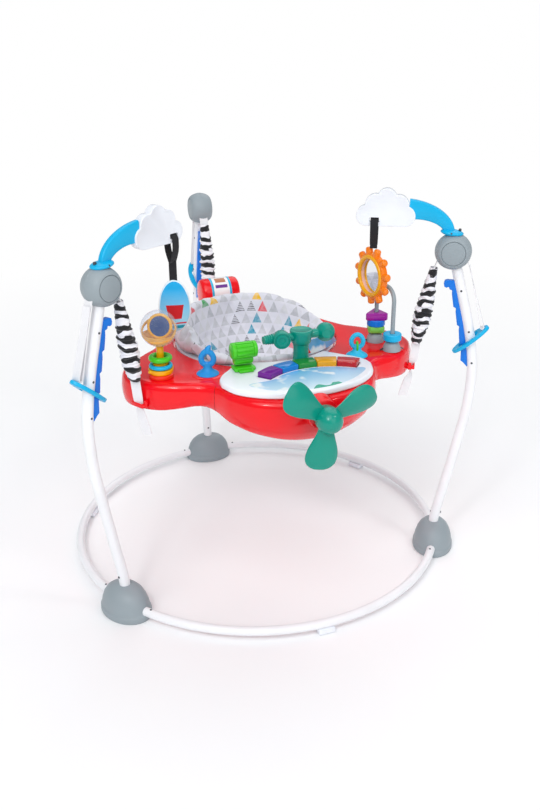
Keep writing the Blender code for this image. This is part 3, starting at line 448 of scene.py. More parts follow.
def polished(name, shade, roughness=0.0, **settings):
    """Gloss ABS from a polished tool: a clear surface with the long soft waves of a thin moulded wall."""
    material, tree, shader, place = start(name, shade, roughness or 0.14, Specular_IOR_Level=0.40,
                                          Coat_Weight=0.08, Coat_Roughness=0.03, **settings)
    wave = add(tree, "TexNoise", Vector=place, Scale=18.0, Detail=1.0)
    mixed = mix(tree, s0=wave.outputs["Fac"], s6=(*[c * 0.92 for c in shade], 1),
                s7=(*[min(1.0, c * 1.04) for c in shade], 1))
    tree.links.new(mixed.outputs[2], shader.inputs["Base Color"])
    raised(tree, shader, wave.outputs["Fac"], 0.0006, 0.5)
    return material


def woven(name, shade, thread_mm=0.9, roughness=0.85):
    """Polyester webbing: ribs of thread, drawn a little coarser than real so that they show."""
    material, tree, shader, place = start(name, shade, roughness, Sheen_Weight=0.3, Sheen_Roughness=0.4)
    waves = []
    for direction in ("X", "Y", "Z"):
        wave = add(tree, "TexWave", {"bands_direction": direction}, Vector=place, Scale=1000 / thread_mm / 6.28,
                   Distortion=0.6, Detail=1.0)
        waves.append(wave.outputs["Fac"])
    first = maths(tree, "MULTIPLY", s0=waves[0], s1=waves[1])
    both = maths(tree, "ADD", s0=first.outputs[0], s1=waves[2])
    tone = add(tree, "MapRange", s0=both.outputs[0], s1=0.0, s2=2.0, s3=0.95, s4=1.02)
    mixed = add(tree, "Mix", {"data_type": "RGBA", "blend_type": "MULTIPLY"}, s0=1.0, s6=(*shade, 1))
    tree.links.new(tone.outputs[0], mixed.inputs[7])
    tree.links.new(mixed.outputs[2], shader.inputs["Base Color"])
    raised(tree, shader, both.outputs[0], 0.0002, 0.6)
    return material


def striped_fabric(name, light, dark):
    """Cotton jersey printed with irregular black bands, as soft as a sock."""
    material, tree, shader, place = start(name, light, 0.9, Sheen_Weight=0.25, Sheen_Roughness=0.5)
    axis = add(tree, "SeparateXYZ", Vector=place)
    bend = add(tree, "TexNoise", Vector=place, Scale=38.0, Detail=1.5, Roughness=0.4)
    pushed = maths(tree, "MULTIPLY_ADD", s0=bend.outputs["Fac"], s1=0.032)
    tree.links.new(axis.outputs["Z"], pushed.inputs[2])
    bands = maths(tree, "MULTIPLY", s0=pushed.outputs[0], s1=2 * math.pi / 0.0215)
    sine = maths(tree, "SINE", s0=bands.outputs[0])
    ink = add(tree, "MapRange", s0=sine.outputs[0], s1=-0.12, s2=0.0, s3=0.0, s4=1.0)
    mixed = mix(tree, s0=ink.outputs[0], s6=(*light, 1), s7=(*dark, 1))
    tree.links.new(mixed.outputs[2], shader.inputs["Base Color"])
    knit = add(tree, "TexNoise", Vector=place, Scale=900.0, Detail=1.0)
    raised(tree, shader, knit.outputs["Fac"], 0.0003, 0.6)
    return material


def triangle_print(name):
    """Padded polyester printed with rows of triangles: most in grey wash, some in colour, some striped."""
    pale = linear("#DFDFE8")
    material, tree, shader, place = start(name, pale, 0.8, Sheen_Weight=0.3, Sheen_Roughness=0.5)
    centred = add(tree, "Mapping", Vector=place, Location=(0, -MIDDLE_Y, 0))
    axis = add(tree, "SeparateXYZ", Vector=centred.outputs[0])
    angle = add(tree, "Math", {"operation": "ARCTAN2"}, s0=axis.outputs["Y"], s1=axis.outputs["X"])
    # 34 columns round the seat, about 28 mm apart; rows 30 mm apart up its wall.
    columns = maths(tree, "MULTIPLY", s0=angle.outputs[0], s1=34 / (2 * math.pi))
    flat = add(tree, "CombineXYZ", X=axis.outputs["X"], Y=axis.outputs["Y"])
    distance = add(tree, "VectorMath", {"operation": "LENGTH"}, Vector=flat.outputs[0])
    climb = maths(tree, "MULTIPLY_ADD", s0=distance.outputs["Value"], s1=0.8)
    tree.links.new(axis.outputs["Z"], climb.inputs[2])
    rows = maths(tree, "MULTIPLY_ADD", s0=climb.outputs[0], s1=1 / 0.030, s2=0.35)
    row = maths(tree, "FLOOR", s0=rows.outputs[0])
    half = maths(tree, "MULTIPLY_ADD", s0=row.outputs[0], s1=0.5)
    tree.links.new(columns.outputs[0], half.inputs[2])
    column = maths(tree, "FLOOR", s0=half.outputs[0])
    across = maths(tree, "FRACT", s0=half.outputs[0])
    up = maths(tree, "FRACT", s0=rows.outputs[0])
    off = maths(tree, "SUBTRACT", s0=across.outputs[0], s1=0.5)
    off = maths(tree, "ABSOLUTE", s0=off.outputs[0])
    reach = add(tree, "MapRange", s0=up.outputs[0], s1=0.03, s2=0.94, s3=0.43, s4=0.0)
    inside = maths(tree, "LESS_THAN", s0=off.outputs[0], s1=reach.outputs[0])
    foot = maths(tree, "GREATER_THAN", s0=up.outputs[0], s1=0.03)
    inside = maths(tree, "MULTIPLY", s0=inside.outputs[0], s1=foot.outputs[0])
    cell = add(tree, "CombineXYZ", X=column.outputs[0], Y=row.outputs[0])
    chance = add(tree, "TexWhiteNoise", {"noise_dimensions": "2D"}, Vector=cell.outputs[0])
    inks = add(tree, "ValToRGB", s0=chance.outputs["Value"])
    ramp = inks.color_ramp
    ramp.interpolation = "CONSTANT"
    shades = ((0.0, "#C6C7CC"), (0.30, "#D7D8DC"), (0.52, "#B7B9BF"), (0.66, "#F3BE1C"), (0.73, "#E84550"),
              (0.80, "#1E97B4"), (0.87, "#2BA050"), (0.93, "#2A2A30"))
    while len(ramp.elements) < len(shades):
        ramp.elements.new(0.5)
    for element, (place_on, shade) in zip(ramp.elements, shades):
        element.position = place_on
        element.color = (*linear(shade), 1)
    lines = maths(tree, "MULTIPLY", s0=up.outputs[0], s1=2 * math.pi * 7)
    lines = maths(tree, "SINE", s0=lines.outputs[0])
    lines = maths(tree, "GREATER_THAN", s0=lines.outputs[0], s1=0.0)
    striped = maths(tree, "GREATER_THAN", s0=chance.outputs["Value"], s1=0.93)
    gaps = maths(tree, "MULTIPLY", s0=lines.outputs[0], s1=striped.outputs[0])
    kept = maths(tree, "SUBTRACT", s0=1.0, s1=gaps.outputs[0])
    inside = maths(tree, "MULTIPLY", s0=inside.outputs[0], s1=kept.outputs[0])
    wash = add(tree, "TexNoise", Vector=place, Scale=130.0, Detail=3.0)
    strength = add(tree, "MapRange", s0=wash.outputs["Fac"], s1=0.35, s2=0.65, s3=0.62, s4=1.0)
    inside = maths(tree, "MULTIPLY", s0=inside.outputs[0], s1=strength.outputs[0])
    mixed = mix(tree, s0=inside.outputs[0], s6=(*pale, 1), s7=inks.outputs[0])
    tree.links.new(mixed.outputs[2], shader.inputs["Base Color"])
    creases = add(tree, "TexNoise", Vector=place, Scale=34.0, Detail=4.0, Roughness=0.62, Distortion=0.6)
    threads = add(tree, "TexNoise", Vector=place, Scale=1100.0, Detail=0.0)
    height = maths(tree, "MULTIPLY_ADD", s0=threads.outputs["Fac"], s1=0.10)
    tree.links.new(creases.outputs["Fac"], height.inputs[2])
    raised(tree, shader, height.outputs[0], 0.006, 0.6)
    return material


def sky_print(name, centre):
    """Printed label under gloss film: a plain sky with soft clouds, and low hills along its front edge."""
    material, tree, shader, place = start(name, linear("#8CCBEF"), 0.25, Coat_Weight=0.4, Coat_Roughness=0.1)
    local = add(tree, "Mapping", Vector=place, Location=tuple(-c for c in centre))
    axis = add(tree, "SeparateXYZ", Vector=local.outputs[0])
    fade = add(tree, "MapRange", s0=axis.outputs["Y"], s1=-0.05, s2=0.045)
    sky = mix(tree, s0=fade.outputs[0], s6=(*linear("#D9EEF9"), 1),
              s7=(*linear("#63B4E8"), 1))
    clouds = add(tree, "TexNoise", Vector=local.outputs[0], Scale=26.0, Detail=2.0, Roughness=0.45)
    puff = add(tree, "MapRange", s0=clouds.outputs["Fac"], s1=0.55, s2=0.64)
    sky = mix(tree, s0=puff.outputs[0], s6=sky.outputs[2],
              s7=(*linear("#F4F9FD"), 1))
    roll = add(tree, "TexNoise", {"noise_dimensions": "1D"}, W=axis.outputs["X"], Scale=34.0, Detail=0.0)
    crest = add(tree, "MapRange", s0=roll.outputs["Fac"], s1=0.3, s2=0.7, s3=-0.054, s4=-0.034)
    hill = maths(tree, "LESS_THAN", s0=axis.outputs["Y"], s1=crest.outputs[0])
    ground = add(tree, "ValToRGB", s0=roll.outputs["Fac"])
    ground.color_ramp.interpolation = "CONSTANT"
    ground.color_ramp.elements[0].color = (*linear("#159A80"), 1)
    ground.color_ramp.elements[1].position = 0.5
    ground.color_ramp.elements[1].color = (*linear("#2EA88C"), 1)
    scene = mix(tree, s0=hill.outputs[0], s6=sky.outputs[2], s7=ground.outputs[0])
    tree.links.new(scene.outputs[2], shader.inputs["Base Color"])
    return material


def plush_print(name, light):
    """Short-pile plush with a sewn picture: sky, a plain red tub, a red line and a teal patch, in a pale rim."""
    material, tree, shader, _ = start(name, linear("#27AEE4"), 0.95, Sheen_Weight=0.6, Sheen_Roughness=0.4)
    flat = add(tree, "UVMap", {"uv_map": "face"})
    axis = add(tree, "SeparateXYZ", Vector=flat.outputs[0])
    u, v = axis.outputs["X"], axis.outputs["Y"]  # -1 to 1 across and up the toy
    fade = add(tree, "MapRange", s0=v, s1=-0.7, s2=0.7)
    shade = mix(tree, s0=fade.outputs[0], s6=(*linear("#A9DCF2"), 1),
                s7=(*linear("#16A7E2"), 1)).outputs[2]
    wide = maths(tree, "ABSOLUTE", s0=u).outputs[0]
    marks = (("#C8101C", -0.46, 0.08, 0.58), ("#D01C28", -0.66, -0.60, 0.70), ("#0F94AC", -0.84, -0.72, 0.60))
    for hex_value, low, high, reach in marks:
        over = maths(tree, "GREATER_THAN", s0=v, s1=low).outputs[0]
        under = maths(tree, "LESS_THAN", s0=v, s1=high).outputs[0]
        flare = maths(tree, "MULTIPLY_ADD", s0=v, s1=0.34, s2=reach - 0.34 * high).outputs[0]
        near = maths(tree, "LESS_THAN", s0=wide, s1=flare).outputs[0]
        box = maths(tree, "MULTIPLY", s0=over, s1=under).outputs[0]
        box = maths(tree, "MULTIPLY", s0=box, s1=near).outputs[0]
        shade = mix(tree, s0=box, s6=shade, s7=(*linear(hex_value), 1)).outputs[2]
    away = add(tree, "VectorMath", {"operation": "LENGTH"}, Vector=flat.outputs[0])
    rim = maths(tree, "GREATER_THAN", s0=away.outputs["Value"], s1=0.95)
    shade = mix(tree, s0=rim.outputs[0], s6=shade, s7=(*light, 1)).outputs[2]
    tree.links.new(shade, shader.inputs["Base Color"])
    pile = add(tree, "TexNoise", Vector=flat.outputs[0], Scale=60.0, Detail=2.0)
    raised(tree, shader, pile.outputs["Fac"], 0.0006, 0.7)
    return material


def band_print(name, centre):
    """Printed label on the tail: white with cyan borders, a plain brown patch and a purple bar."""
    material, tree, shader, place = start(name, linear("#F4F4F4"), 0.3, Coat_Weight=0.3, Coat_Roughness=0.1)
    local = add(tree, "Mapping", Vector=place, Location=tuple(-c for c in centre))
    axis = add(tree, "SeparateXYZ", Vector=local.outputs[0])
    wide = maths(tree, "ABSOLUTE", s0=axis.outputs["X"]).outputs[0]
    shade = None
    # Colour, then the nearest and farthest it comes to the label's middle line, and its ends along it.
    marks = (("#19B5DE", 0.0195, 1.0, -1.0, 1.0), ("#B4693A", 0.0, 0.013, -0.020, -0.004),
             ("#6B2C91", 0.0, 0.015, -0.0300, -0.0250))
    for hex_value, near, far, low, high in marks:
        wider = maths(tree, "GREATER_THAN", s0=wide, s1=near - 1e-6).outputs[0]
        less = maths(tree, "LESS_THAN", s0=wide, s1=far).outputs[0]
        over = maths(tree, "GREATER_THAN", s0=axis.outputs["Y"], s1=low).outputs[0]
        under = maths(tree, "LESS_THAN", s0=axis.outputs["Y"], s1=high).outputs[0]
        box = maths(tree, "MULTIPLY", s0=wider, s1=less).outputs[0]
        for more in (over, under):
            box = maths(tree, "MULTIPLY", s0=box, s1=more).outputs[0]
        mixed = mix(tree, s0=box, s6=(*linear("#F4F4F4"), 1),
                    s7=(*linear(hex_value), 1))
        if shade:
            tree.links.new(shade, mixed.inputs[6])
        shade = mixed.outputs[2]
    tree.links.new(shade, shader.inputs["Base Color"])
    return material


def metal(name, hex_value, roughness):
    """Plated steel: bright, with fine draw marks in its roughness."""
    material, tree, shader, place = start(name, linear(hex_value), roughness, Metallic=1.0)
    marks = add(tree, "TexNoise", Vector=place, Scale=600.0, Detail=2.0)
    dull = add(tree, "MapRange", s0=marks.outputs["Fac"], s3=roughness * 0.7, s4=roughness * 1.5)
    tree.links.new(dull.outputs[0], shader.inputs["Roughness"])
    return material


def clear(name, hex_value, weight, roughness=0.04):
    """Clear moulded polystyrene: thin walls that pass light straight through and shine most at their rims."""
    material, tree, shader, place = start(name, linear(hex_value), roughness, Coat_Weight=0.4, Coat_Roughness=0.03)
    wave = add(tree, "TexNoise", Vector=place, Scale=30.0, Detail=1.0)
    raised(tree, shader, wave.outputs["Fac"], 0.0003, 0.4)
    through = add(tree, "BsdfTransparent", Color=(*[0.6 + 0.4 * c for c in linear(hex_value)], 1))
    rim = add(tree, "LayerWeight", Blend=0.35)
    solid = add(tree, "MapRange", s0=rim.outputs["Facing"], s3=1.0 - weight, s4=min(1.0, 1.25 - weight))
    both = add(tree, "MixShader", s0=solid.outputs[0], s1=through.outputs[0], s2=shader.outputs[0])
    tree.links.new(both.outputs[0], tree.nodes["Material Output"].inputs["Surface"])
    return material


def silicone(name, shade):
    """Soft moulded silicone: matt, slightly see-through at its edges."""
    return moulded(name, shade, 0.42, 0.8, 0.03, Subsurface_Weight=0.25, Subsurface_Scale=0.006)


class Finishes:
    """All the finishes, made once from the colours of the scene."""

    made = {}

    @classmethod
    def get(cls, name):
        if not cls.made:
            shade = bpy.context.scene.jumper_colours
            tone = {key: tuple(getattr(shade, key)) for key in JumperColours.__annotations__}
            cls.made = {
                "powder coat": powder_coat("white powder coat", tone["white"]),
                "grey": moulded("slate grey ABS, fine grain", tone["grey"], 0.42, 0.9, 0.06),
                "cyan": moulded("cyan ABS, satin", tone["cyan"], 0.30, 1.2, 0.03),
                "blue": moulded("blue ABS, satin", tone["blue"], 0.34, 1.2, 0.03),
                "white": polished("white gloss ABS", tone["shell_white"], 0.22),
                "red": polished("red gloss ABS", tone["red"]),
                # Red darkened to 45 %: painted shade, used for the dark lines along the tray's mould seams.
                "dark red": polished("red gloss ABS in shade", tuple(c * 0.45 for c in tone["red"])),
                "orange red": polished("orange-red gloss ABS", linear("#F0361A")),
                "teal": polished("teal gloss ABS", tone["teal"], 0.24),
                "yellow": polished("yellow gloss ABS", tone["yellow"], 0.2),
                "orange": polished("orange gloss ABS", tone["orange"], 0.22),
                "green": polished("green gloss ABS", tone["green"], 0.2),
                "pale green": polished("pale green gloss ABS", linear("#7ACB52"), 0.25),
                "purple": polished("purple gloss ABS", tone["purple"], 0.22),
                "salmon": polished("salmon ABS", linear("#EDB7A4"), 0.3),
                "teether": silicone("blue silicone", tone["teether"]),
                "cyan silicone": silicone("cyan silicone", linear("#2CBCE6")),
                "webbing": woven("white polyester webbing", tone["webbing"]),
                "black webbing": woven("black polyester webbing", tone["black"]),
                "stripes": striped_fabric("black and white jersey", linear("#F1F0F6"), tone["black"]),
                "triangles": triangle_print("padded fabric with triangles"),
                "sky": sky_print("sky label", (0.0, MIDDLE_Y + PRINT_Y, 0.0)),
                "plush": plush_print("printed plush", linear("#E4F2FA")),
                "tail label": band_print("tail label", (0.0, MIDDLE_Y + TAIL[1], 0.0)),
                "steel": metal("plated steel", "#C9CCD1", 0.25),
                "dark steel": metal("blackened steel", "#5A5E64", 0.4),
                "mirror": metal("mirror film on polystyrene", "#ECEEF2", 0.03),
                "blue mirror": metal("blue mirror film", "#6E88C4", 0.08),
                "clear": clear("clear polystyrene", "#F4F8FF", 0.98),
                "clear yellow": clear("clear yellow polystyrene", "#FFBE08", 0.30, 0.1),
                "key purple": polished("purple translucent key", linear("#741C93"), 0.08),
                "key blue": polished("blue translucent key", linear("#1C82D2"), 0.08),
                "key green": polished("green translucent key", linear("#1E8A34"), 0.08),
                "key amber": polished("amber translucent key", linear("#E9A51C"), 0.08),
                "key red": polished("red translucent key", linear("#BE1A22"), 0.08),
            }
        return cls.made[name]


# ---------------------------------------------------------------- frame pieces

LEG_PATH = ((0.4190, 0.014), (0.4200, 0.075), (0.4368, 0.167), (0.4565, 0.272), (0.4704, 0.356),
            (0.4746, 0.430), (0.4704, 0.482), (0.4578, 0.545), (0.4410, 0.608), (0.4245, 0.668),
            (0.4205, 0.690))  # distance from the middle and height, up a leg
HUB = (0.4154, 0.700)  # distance and height of a hub's axis
DISC = (0.4655, 0.5130)  # distance and height of a height disc's middle at rest


def in_plane(points):
    """Pairs of distance and height as points in a leg's plane."""
    return [Vector((distance, 0, height)) for distance, height in points]


def leg_at(height):
    """Distance of a leg's centre line from the middle at a height."""
    for (r0, z0), (r1, z1) in zip(LEG_PATH, LEG_PATH[1:]):
        if z0 <= height <= z1:
            return r0 + (r1 - r0) * (height - z0) / (z1 - z0)
    return LEG_PATH[-1][0]


class JUMPER_OT_floor_ring(bpy.types.Operator):
    """Makes the three bent tubes of the floor ring with their pads"""

    bl_idname = "jumper.floor_ring"
    bl_label = "Floor ring"

    def execute(self, context):
        size = context.scene.jumper_frame
        for name, first in (("front", 210.0), ("right", 330.0), ("left", 90.0)):
            gap = math.degrees(0.012 / size.ring_radius)
            angles = [math.radians(first + gap + (120 - 2 * gap) * k / 60) for k in range(61)]
            path = [Vector((size.ring_radius * math.cos(a), MIDDLE_Y + size.ring_radius * math.sin(a),
                            size.ring_height)) for a in angles]
            tube = swept(path, ring(size.ring_tube, 20), Z)
            middle = math.radians(first + 60)
            pad = moved(block((0.024, 0.036, 0.012), 0.003), shift(0, MIDDLE_Y, 0.0062),
                        Matrix.Rotation(middle, 4, "Z"), shift(size.ring_radius, 0, 0))
            finish("floor_tube_" + name, [(tube, "powder coat"), (pad, "white")],
                   "frame", ["base_tube_" + name])
        return {"FINISHED"}


class JUMPER_OT_legs(bpy.types.Operator):
    """Makes the legs, their domed feet, the drum hubs, the racks and the small fasteners"""

    bl_idname = "jumper.legs"
    bl_label = "Legs, feet and hubs"

    def execute(self, context):
        size = context.scene.jumper_frame
        for side in SIDES:
            plane = leg_plane(side)
            leg = swept(smooth_path(in_plane(LEG_PATH), 6), ring(size.leg_tube, 28))
            finish("leg_tube_" + side, [(moved(leg, plane), "powder coat")], "frame",
                   ["leg_" + side])

            dome = [(0.0, 0.0660), (0.012, 0.0655), (0.024, 0.0632), (0.035, 0.0585), (0.0445, 0.0508),
                    (0.0515, 0.0405), (0.0560, 0.0290), (0.0580, 0.0185), (0.0584, 0.0152), (0.0602, 0.0140),
                    (0.0612, 0.0120), (0.0618, 0.0030), (0.0605, 0.0), (0.0, 0.0)]
            foot = moved(lathe(dome, 64), plane, shift(size.ring_radius, 0, 0),
                         Matrix.Diagonal((0.74, 1, 1, 1)))
            finish("foot_dome_" + side, [(foot, "grey")], "frame", ["foot_" + side],
                   50)

            half = size.hub_width / 2
            rim = [(0.0, half - 0.0010), (0.0222, half - 0.0010), (0.0234, half - 0.0015), (0.0239, half - 0.0030),
                   (0.0247, half - 0.0030), (0.0252, half - 0.0012), (0.0264, half - 0.0014),
                   (0.0292, half - 0.0034), (0.0318, half - 0.0066), (0.0342, half - 0.0112),
                   (0.0359, half - 0.0165), (0.0369, 0.0062), (size.hub_radius, 0.0006),
                   (size.hub_radius - 0.0004, 0.0)]
            profile = rim + [(radius, -height) for radius, height in reversed(rim)]
            drum = moved(lathe(profile, 64), plane, shift(HUB[0], 0, HUB[1]), turned(90, "X"))
            finish("hub_drum_" + side, [(drum, "grey")], "frame", ["hub_" + side],
                   32)

            back, teeth = [], []
            for k in range(41):
                height = 0.452 + 0.188 * k / 40
                back.append(Vector((leg_at(height) - size.leg_tube + 0.0012, 0, height)))
            for k in range(4):
                for share, depth in ((0.0, 0.0075), (0.08, 0.0122), (0.75, 0.0100), (0.97, 0.0078)):
                    height = 0.462 + 0.0395 * (k + share)
                    teeth.append(Vector((leg_at(height) - size.leg_tube - depth, 0, height)))
            top = leg_at(0.638) - size.leg_tube
            hook = [Vector((top + x, 0, z)) for x, z in ((-0.0080, 0.6210), (-0.0095, 0.6260), (-0.0150, 0.6240),
                                                          (-0.0190, 0.6260), (-0.0205, 0.6320), (-0.0190, 0.6385),
                                                          (-0.0140, 0.6405))]
            rack = moved(plate([*reversed(back), *teeth, *hook], 0.012, Y, 0.0014), plane)
            finish("rack_" + side, [(rack, "blue")], "frame", ["height_rack_" + side])

            heads = []
            face = -1 if side == "right" else 1
            for height, way in ((0.620, face), (0.532, face), (0.463, face)):
                point = Vector((leg_at(height), face * size.leg_tube, height))
                heads.append(moved(screw(0.0023, 0.0008), plane, spot(point, (0, way, 0))))
            for height, radial in ((0.088, -1), (0.088, 1)):
                point = Vector((leg_at(height) + radial * size.leg_tube, 0, height))
                heads.append(moved(ball((0.0026, 0.0026, 0.0016), 16), plane, spot(point, (radial, 0, 0))))
            for turn in (-9.6, 9.6):
                there = Matrix.Rotation(math.radians(turn), 4, "Z")
                point = Vector((size.ring_radius, 0, size.ring_height + size.ring_tube))
                heads.append(moved(ball((0.0024, 0.0024, 0.0013), 16), plane, there, Matrix.Translation(point)))
            finish("leg_fasteners_" + side, [(merged(*heads), "dark steel")], "frame")
        return {"FINISHED"}


class JUMPER_OT_height_discs(bpy.types.Operator):
    """Makes the tilted discs that set the height, each with a raised rim and a slot for its leg"""

    bl_idname = "jumper.height_discs"
    bl_label = "Height discs"

    def execute(self, context):
        for side in SIDES:
            body = "height_slider_" + side
            bm = bmesh.new()
            bmesh.ops.create_circle(bm, cap_ends=True, segments=72, radius=1.0)
            bmesh.ops.transform(bm, verts=bm.verts[:], matrix=Matrix.Diagonal((0.046, 0.0225, 1, 1)))
            grown = bmesh.ops.extrude_face_region(bm, geom=bm.faces[:])["geom"]
            bmesh.ops.translate(bm, verts=[g for g in grown if isinstance(g, bmesh.types.BMVert)],
                                vec=(0, 0, 0.0080))
            bmesh.ops.recalc_face_normals(bm, faces=bm.faces[:])
            top = max(bm.faces, key=lambda face: face.calc_center_median().z)
            bmesh.ops.inset_region(bm, faces=[top], thickness=0.0030, depth=-0.0005)
            rounded(bm, 0.0020, 3, 30)
            moved(bm, turned(-41.0, "Y"), shift(0, 0, -0.0040))
            # The slot is round where the leg passes and narrows towards the rack.
            radius, narrow, end = 0.0132, 0.0085, -0.0262
            outline = [Vector((0.005 + radius * math.cos(a), radius * math.sin(a), 0))
                       for a in [math.radians(-90 + 180 * k / 20) for k in range(21)]]
            outline += [Vector((end, narrow, 0)), Vector((end, -narrow, 0))]
            slot = moved(plate(outline, 0.12, Z, 0), Matrix.Shear("XY", 4, (-0.165, 0.0)))
            disc = moved(cut(bm, slot), leg_plane(side), shift(DISC[0], 0, DISC[1]))
            finish("height_disc_" + side, [(disc, "cyan")], body, [body], 35)
        return {"FINISHED"}


class JUMPER_OT_toy_arms(bpy.types.Operator):
    """Makes the curved arms, their saddles and the clouds that they hold"""

    bl_idname = "jumper.toy_arms"
    bl_label = "Toy arms and clouds"

    def execute(self, context):
        lobes = ((-0.040, 0.021, 0.0210), (-0.023, 0.044, 0.0205), (0.0, 0.056, 0.0200),
                 (0.024, 0.042, 0.0215), (0.038, 0.021, 0.0210))
        centre = Vector((0, 0.030))
        for side in ("left", "right"):
            plane = leg_plane(side)
            tip, base = Vector((0.322, 0, 0.783)), Vector((0.406, 0, 0.733))
            path = []
            for k in range(33):
                angle = math.radians(92 * k / 32 - 2)
                path.append(Vector((tip.x + (base.x - tip.x) * math.cos(angle), 0,
                                    base.z + (tip.z - base.z) * math.sin(angle))))
            blade = swept(path, lambda t: strip(0.0190 + 0.0225 * t ** 1.3, 0.012, 0.0025))
            saddle = moved(ball((0.0235, 0.0200, 0.0066), 40), shift(0.4100, 0, 0.7385), turned(6, "Y"))
            finish("arm_blade_" + side, [(moved(merged(blade, saddle), plane), "cyan")], "frame",
                   ["toy_arm_" + side], 50)
            catch = moved(block((0.006, 0.006, 0.006), 0.002), shift(0.4255, 0, 0.7440))
            heads = [moved(screw(0.0020, 0.0010), spot((0.4085, way * 0.0190, 0.7400), (0, way, 0.5)))
                     for way in (-1, 1)]
            finish("arm_catch_" + side, [(moved(merged(catch, *heads), plane), "dark steel")],
                   "frame")

            outline = []
            for k in range(220):
                angle = 2 * math.pi * k / 220
                ray = Vector((math.cos(angle), math.sin(angle)))
                reach = 0.0
                for along, up, radius in lobes:
                    offset = Vector((along, up)) - centre
                    middle = ray.dot(offset)
                    gap = radius ** 2 - (offset.length_squared - middle * middle)
                    if gap > 0:
                        reach = max(reach, middle + math.sqrt(gap))
                if ray.y < 0 and abs(ray.x / ray.y) * centre.y < 0.039:
                    reach = max(reach, -centre.y / ray.y)  # the flat bottom
                point = centre + ray * reach
                outline.append(Vector((point.x, 0, max(point.y, 0.0))))
            cloud = plate(outline, 0.018, Y, 0.0022, 3)
            faces = sorted(cloud.faces, key=lambda face: -face.calc_area())[:2]
            for face in faces:
                bmesh.ops.inset_region(cloud, faces=[face], thickness=0.0032, depth=-0.0013)
            cloud = moved(cloud, shift(0.276, 0, 0.748))
            hang = (Vector(JOINTS[("plush" if side == "left" else "sun") + "_swing"]["pos_m"])
                    - Vector((0, MIDDLE_Y, 0))).xy.length
            hole = moved(block((0.020, 0.04, 0.0095), 0.001), shift(hang, 0, 0.7608))
            cloud = moved(cut(cloud, hole), plane)
            finish("cloud_plate_" + side, [(cloud, "white")], "frame", ["cloud_" + side],
                   45)
        return {"FINISHED"}


class JUMPER_OT_straps(bpy.types.Operator):
    """Makes the webbing over the hubs, the gathered spring covers and the straps that hold the tray"""

    bl_idname = "jumper.straps"
    bl_label = "Straps and spring covers"

    def execute(self, context):
        size = context.scene.jumper_frame
        ribbon = strip(0.0014, size.webbing)
        for index, side in enumerate(SIDES):
            plane = leg_plane(side)
            arch = [(HUB[0] + 0.0265 * math.cos(a), HUB[1] + 0.0265 * math.sin(a))
                    for a in [math.radians(196 - 206 * k / 16) for k in range(17)]]
            turn = [(0.4862 + 0.0043 * math.cos(a), 0.5435 + 0.0043 * math.sin(a))
                    for a in [math.radians(-180 * k / 6) for k in range(7)]]
            path = in_plane([(0.3783, 0.6600), *arch, *turn, (0.4520, 0.6720)])
            strap = finish("webbing_over_hub_" + side,
                           [(moved(swept(path, ribbon), plane), "webbing")], None,
                           ["height_strap_" + side])
            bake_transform(strap)

            top, bottom = in_plane([(0.3792, 0.6650), (0.3518, 0.4990)])
            down = bottom - top
            out = Y.cross(down).normalized()
            levels = []
            around, along = 44, 150
            for k in range(along + 1):
                t = k / along
                belly = math.sin(math.pi * min(1.0, t / 0.62) / 2) ** 1.3 if t < 0.62 else math.cos(
                    (t - 0.62) / 0.38 * math.pi / 2) ** 0.6
                wide = 0.0106 + (size.cover_belly - 0.0106) * belly
                deep = 0.0080 + (size.cover_belly - 0.0080) * belly
                loop = []
                for j in range(around):
                    angle = 2 * math.pi * j / around
                    spin = Vector((math.cos(angle), math.sin(angle), t * 15.0))
                    fold = noise.noise(Vector((spin.x * 0.9, spin.y * 0.9, t * 19.0 + 7 * index)))
                    tuck = math.sin(2 * math.pi * t * 17 + 2.2 * noise.noise(spin * 0.7 + Vector((index, 0, 0))))
                    swell = 1 + (size.gather / size.cover_belly) * (1.1 * fold + 0.42 * tuck) * (
                        0.35 + 0.65 * belly)
                    loop.append(top + down * t + out * (deep * swell * math.cos(angle))
                                + Y * (wide * swell * math.sin(angle)))
                levels.append(loop)
            cover = lofted(levels, cap=False)
            area = sum(face.calc_area() for face in cover.faces)
            bmesh.ops.solidify(cover, geom=cover.faces[:], thickness=0.0007)
            sleeve = finish("spring_sleeve_" + side, [(moved(cover, plane), "stripes")], None,
                            ["spring_cover_" + side], 80)
            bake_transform(sleeve)

            points = smooth_path(in_plane([(0.3541, 0.5130), (0.3500, 0.4760), (0.3465, 0.4470),
                                           (0.3405, 0.4160), (0.3345, 0.3930), (0.3300, 0.3750)]), 6)
            twist = {"left": -25.0, "right": 65.0, "rear": 0.0}[side]

            def turned_ribbon(t):
                """The webbing's section, straight where it passes its buckle and turned elsewhere."""
                a = math.radians(twist) * min(1.0, abs(t - 0.46) / 0.16)
                return [(x * math.cos(a) - y * math.sin(a), x * math.sin(a) + y * math.cos(a)) for x, y in ribbon]

            tail = finish("tray_webbing_" + side,
                          [(moved(swept(points, turned_ribbon), plane), "webbing")], "tray",
                          ["tray_strap_" + side])
            coil = frame["nodes"]["spring_" + side]
            for material_slot in coil.material_slots:
                material_slot.material = Finishes.get("steel")
        return {"FINISHED"}


# ---------------------------------------------------------------- tray

TRAY_OUTLINE = ((-90, 0.374), (-80, 0.372), (-70, 0.357), (-62, 0.329), (-56, 0.302), (-50, 0.297),
                (-43, 0.314), (-35, 0.333), (-27, 0.341), (-20, 0.339), (-13, 0.316), (-6, 0.272),
                (3, 0.231), (16, 0.214), (40, 0.212), (58, 0.217), (68, 0.237), (76, 0.285),
                (83, 0.326), (90, 0.336))  # angle in degrees and distance from the middle, right half


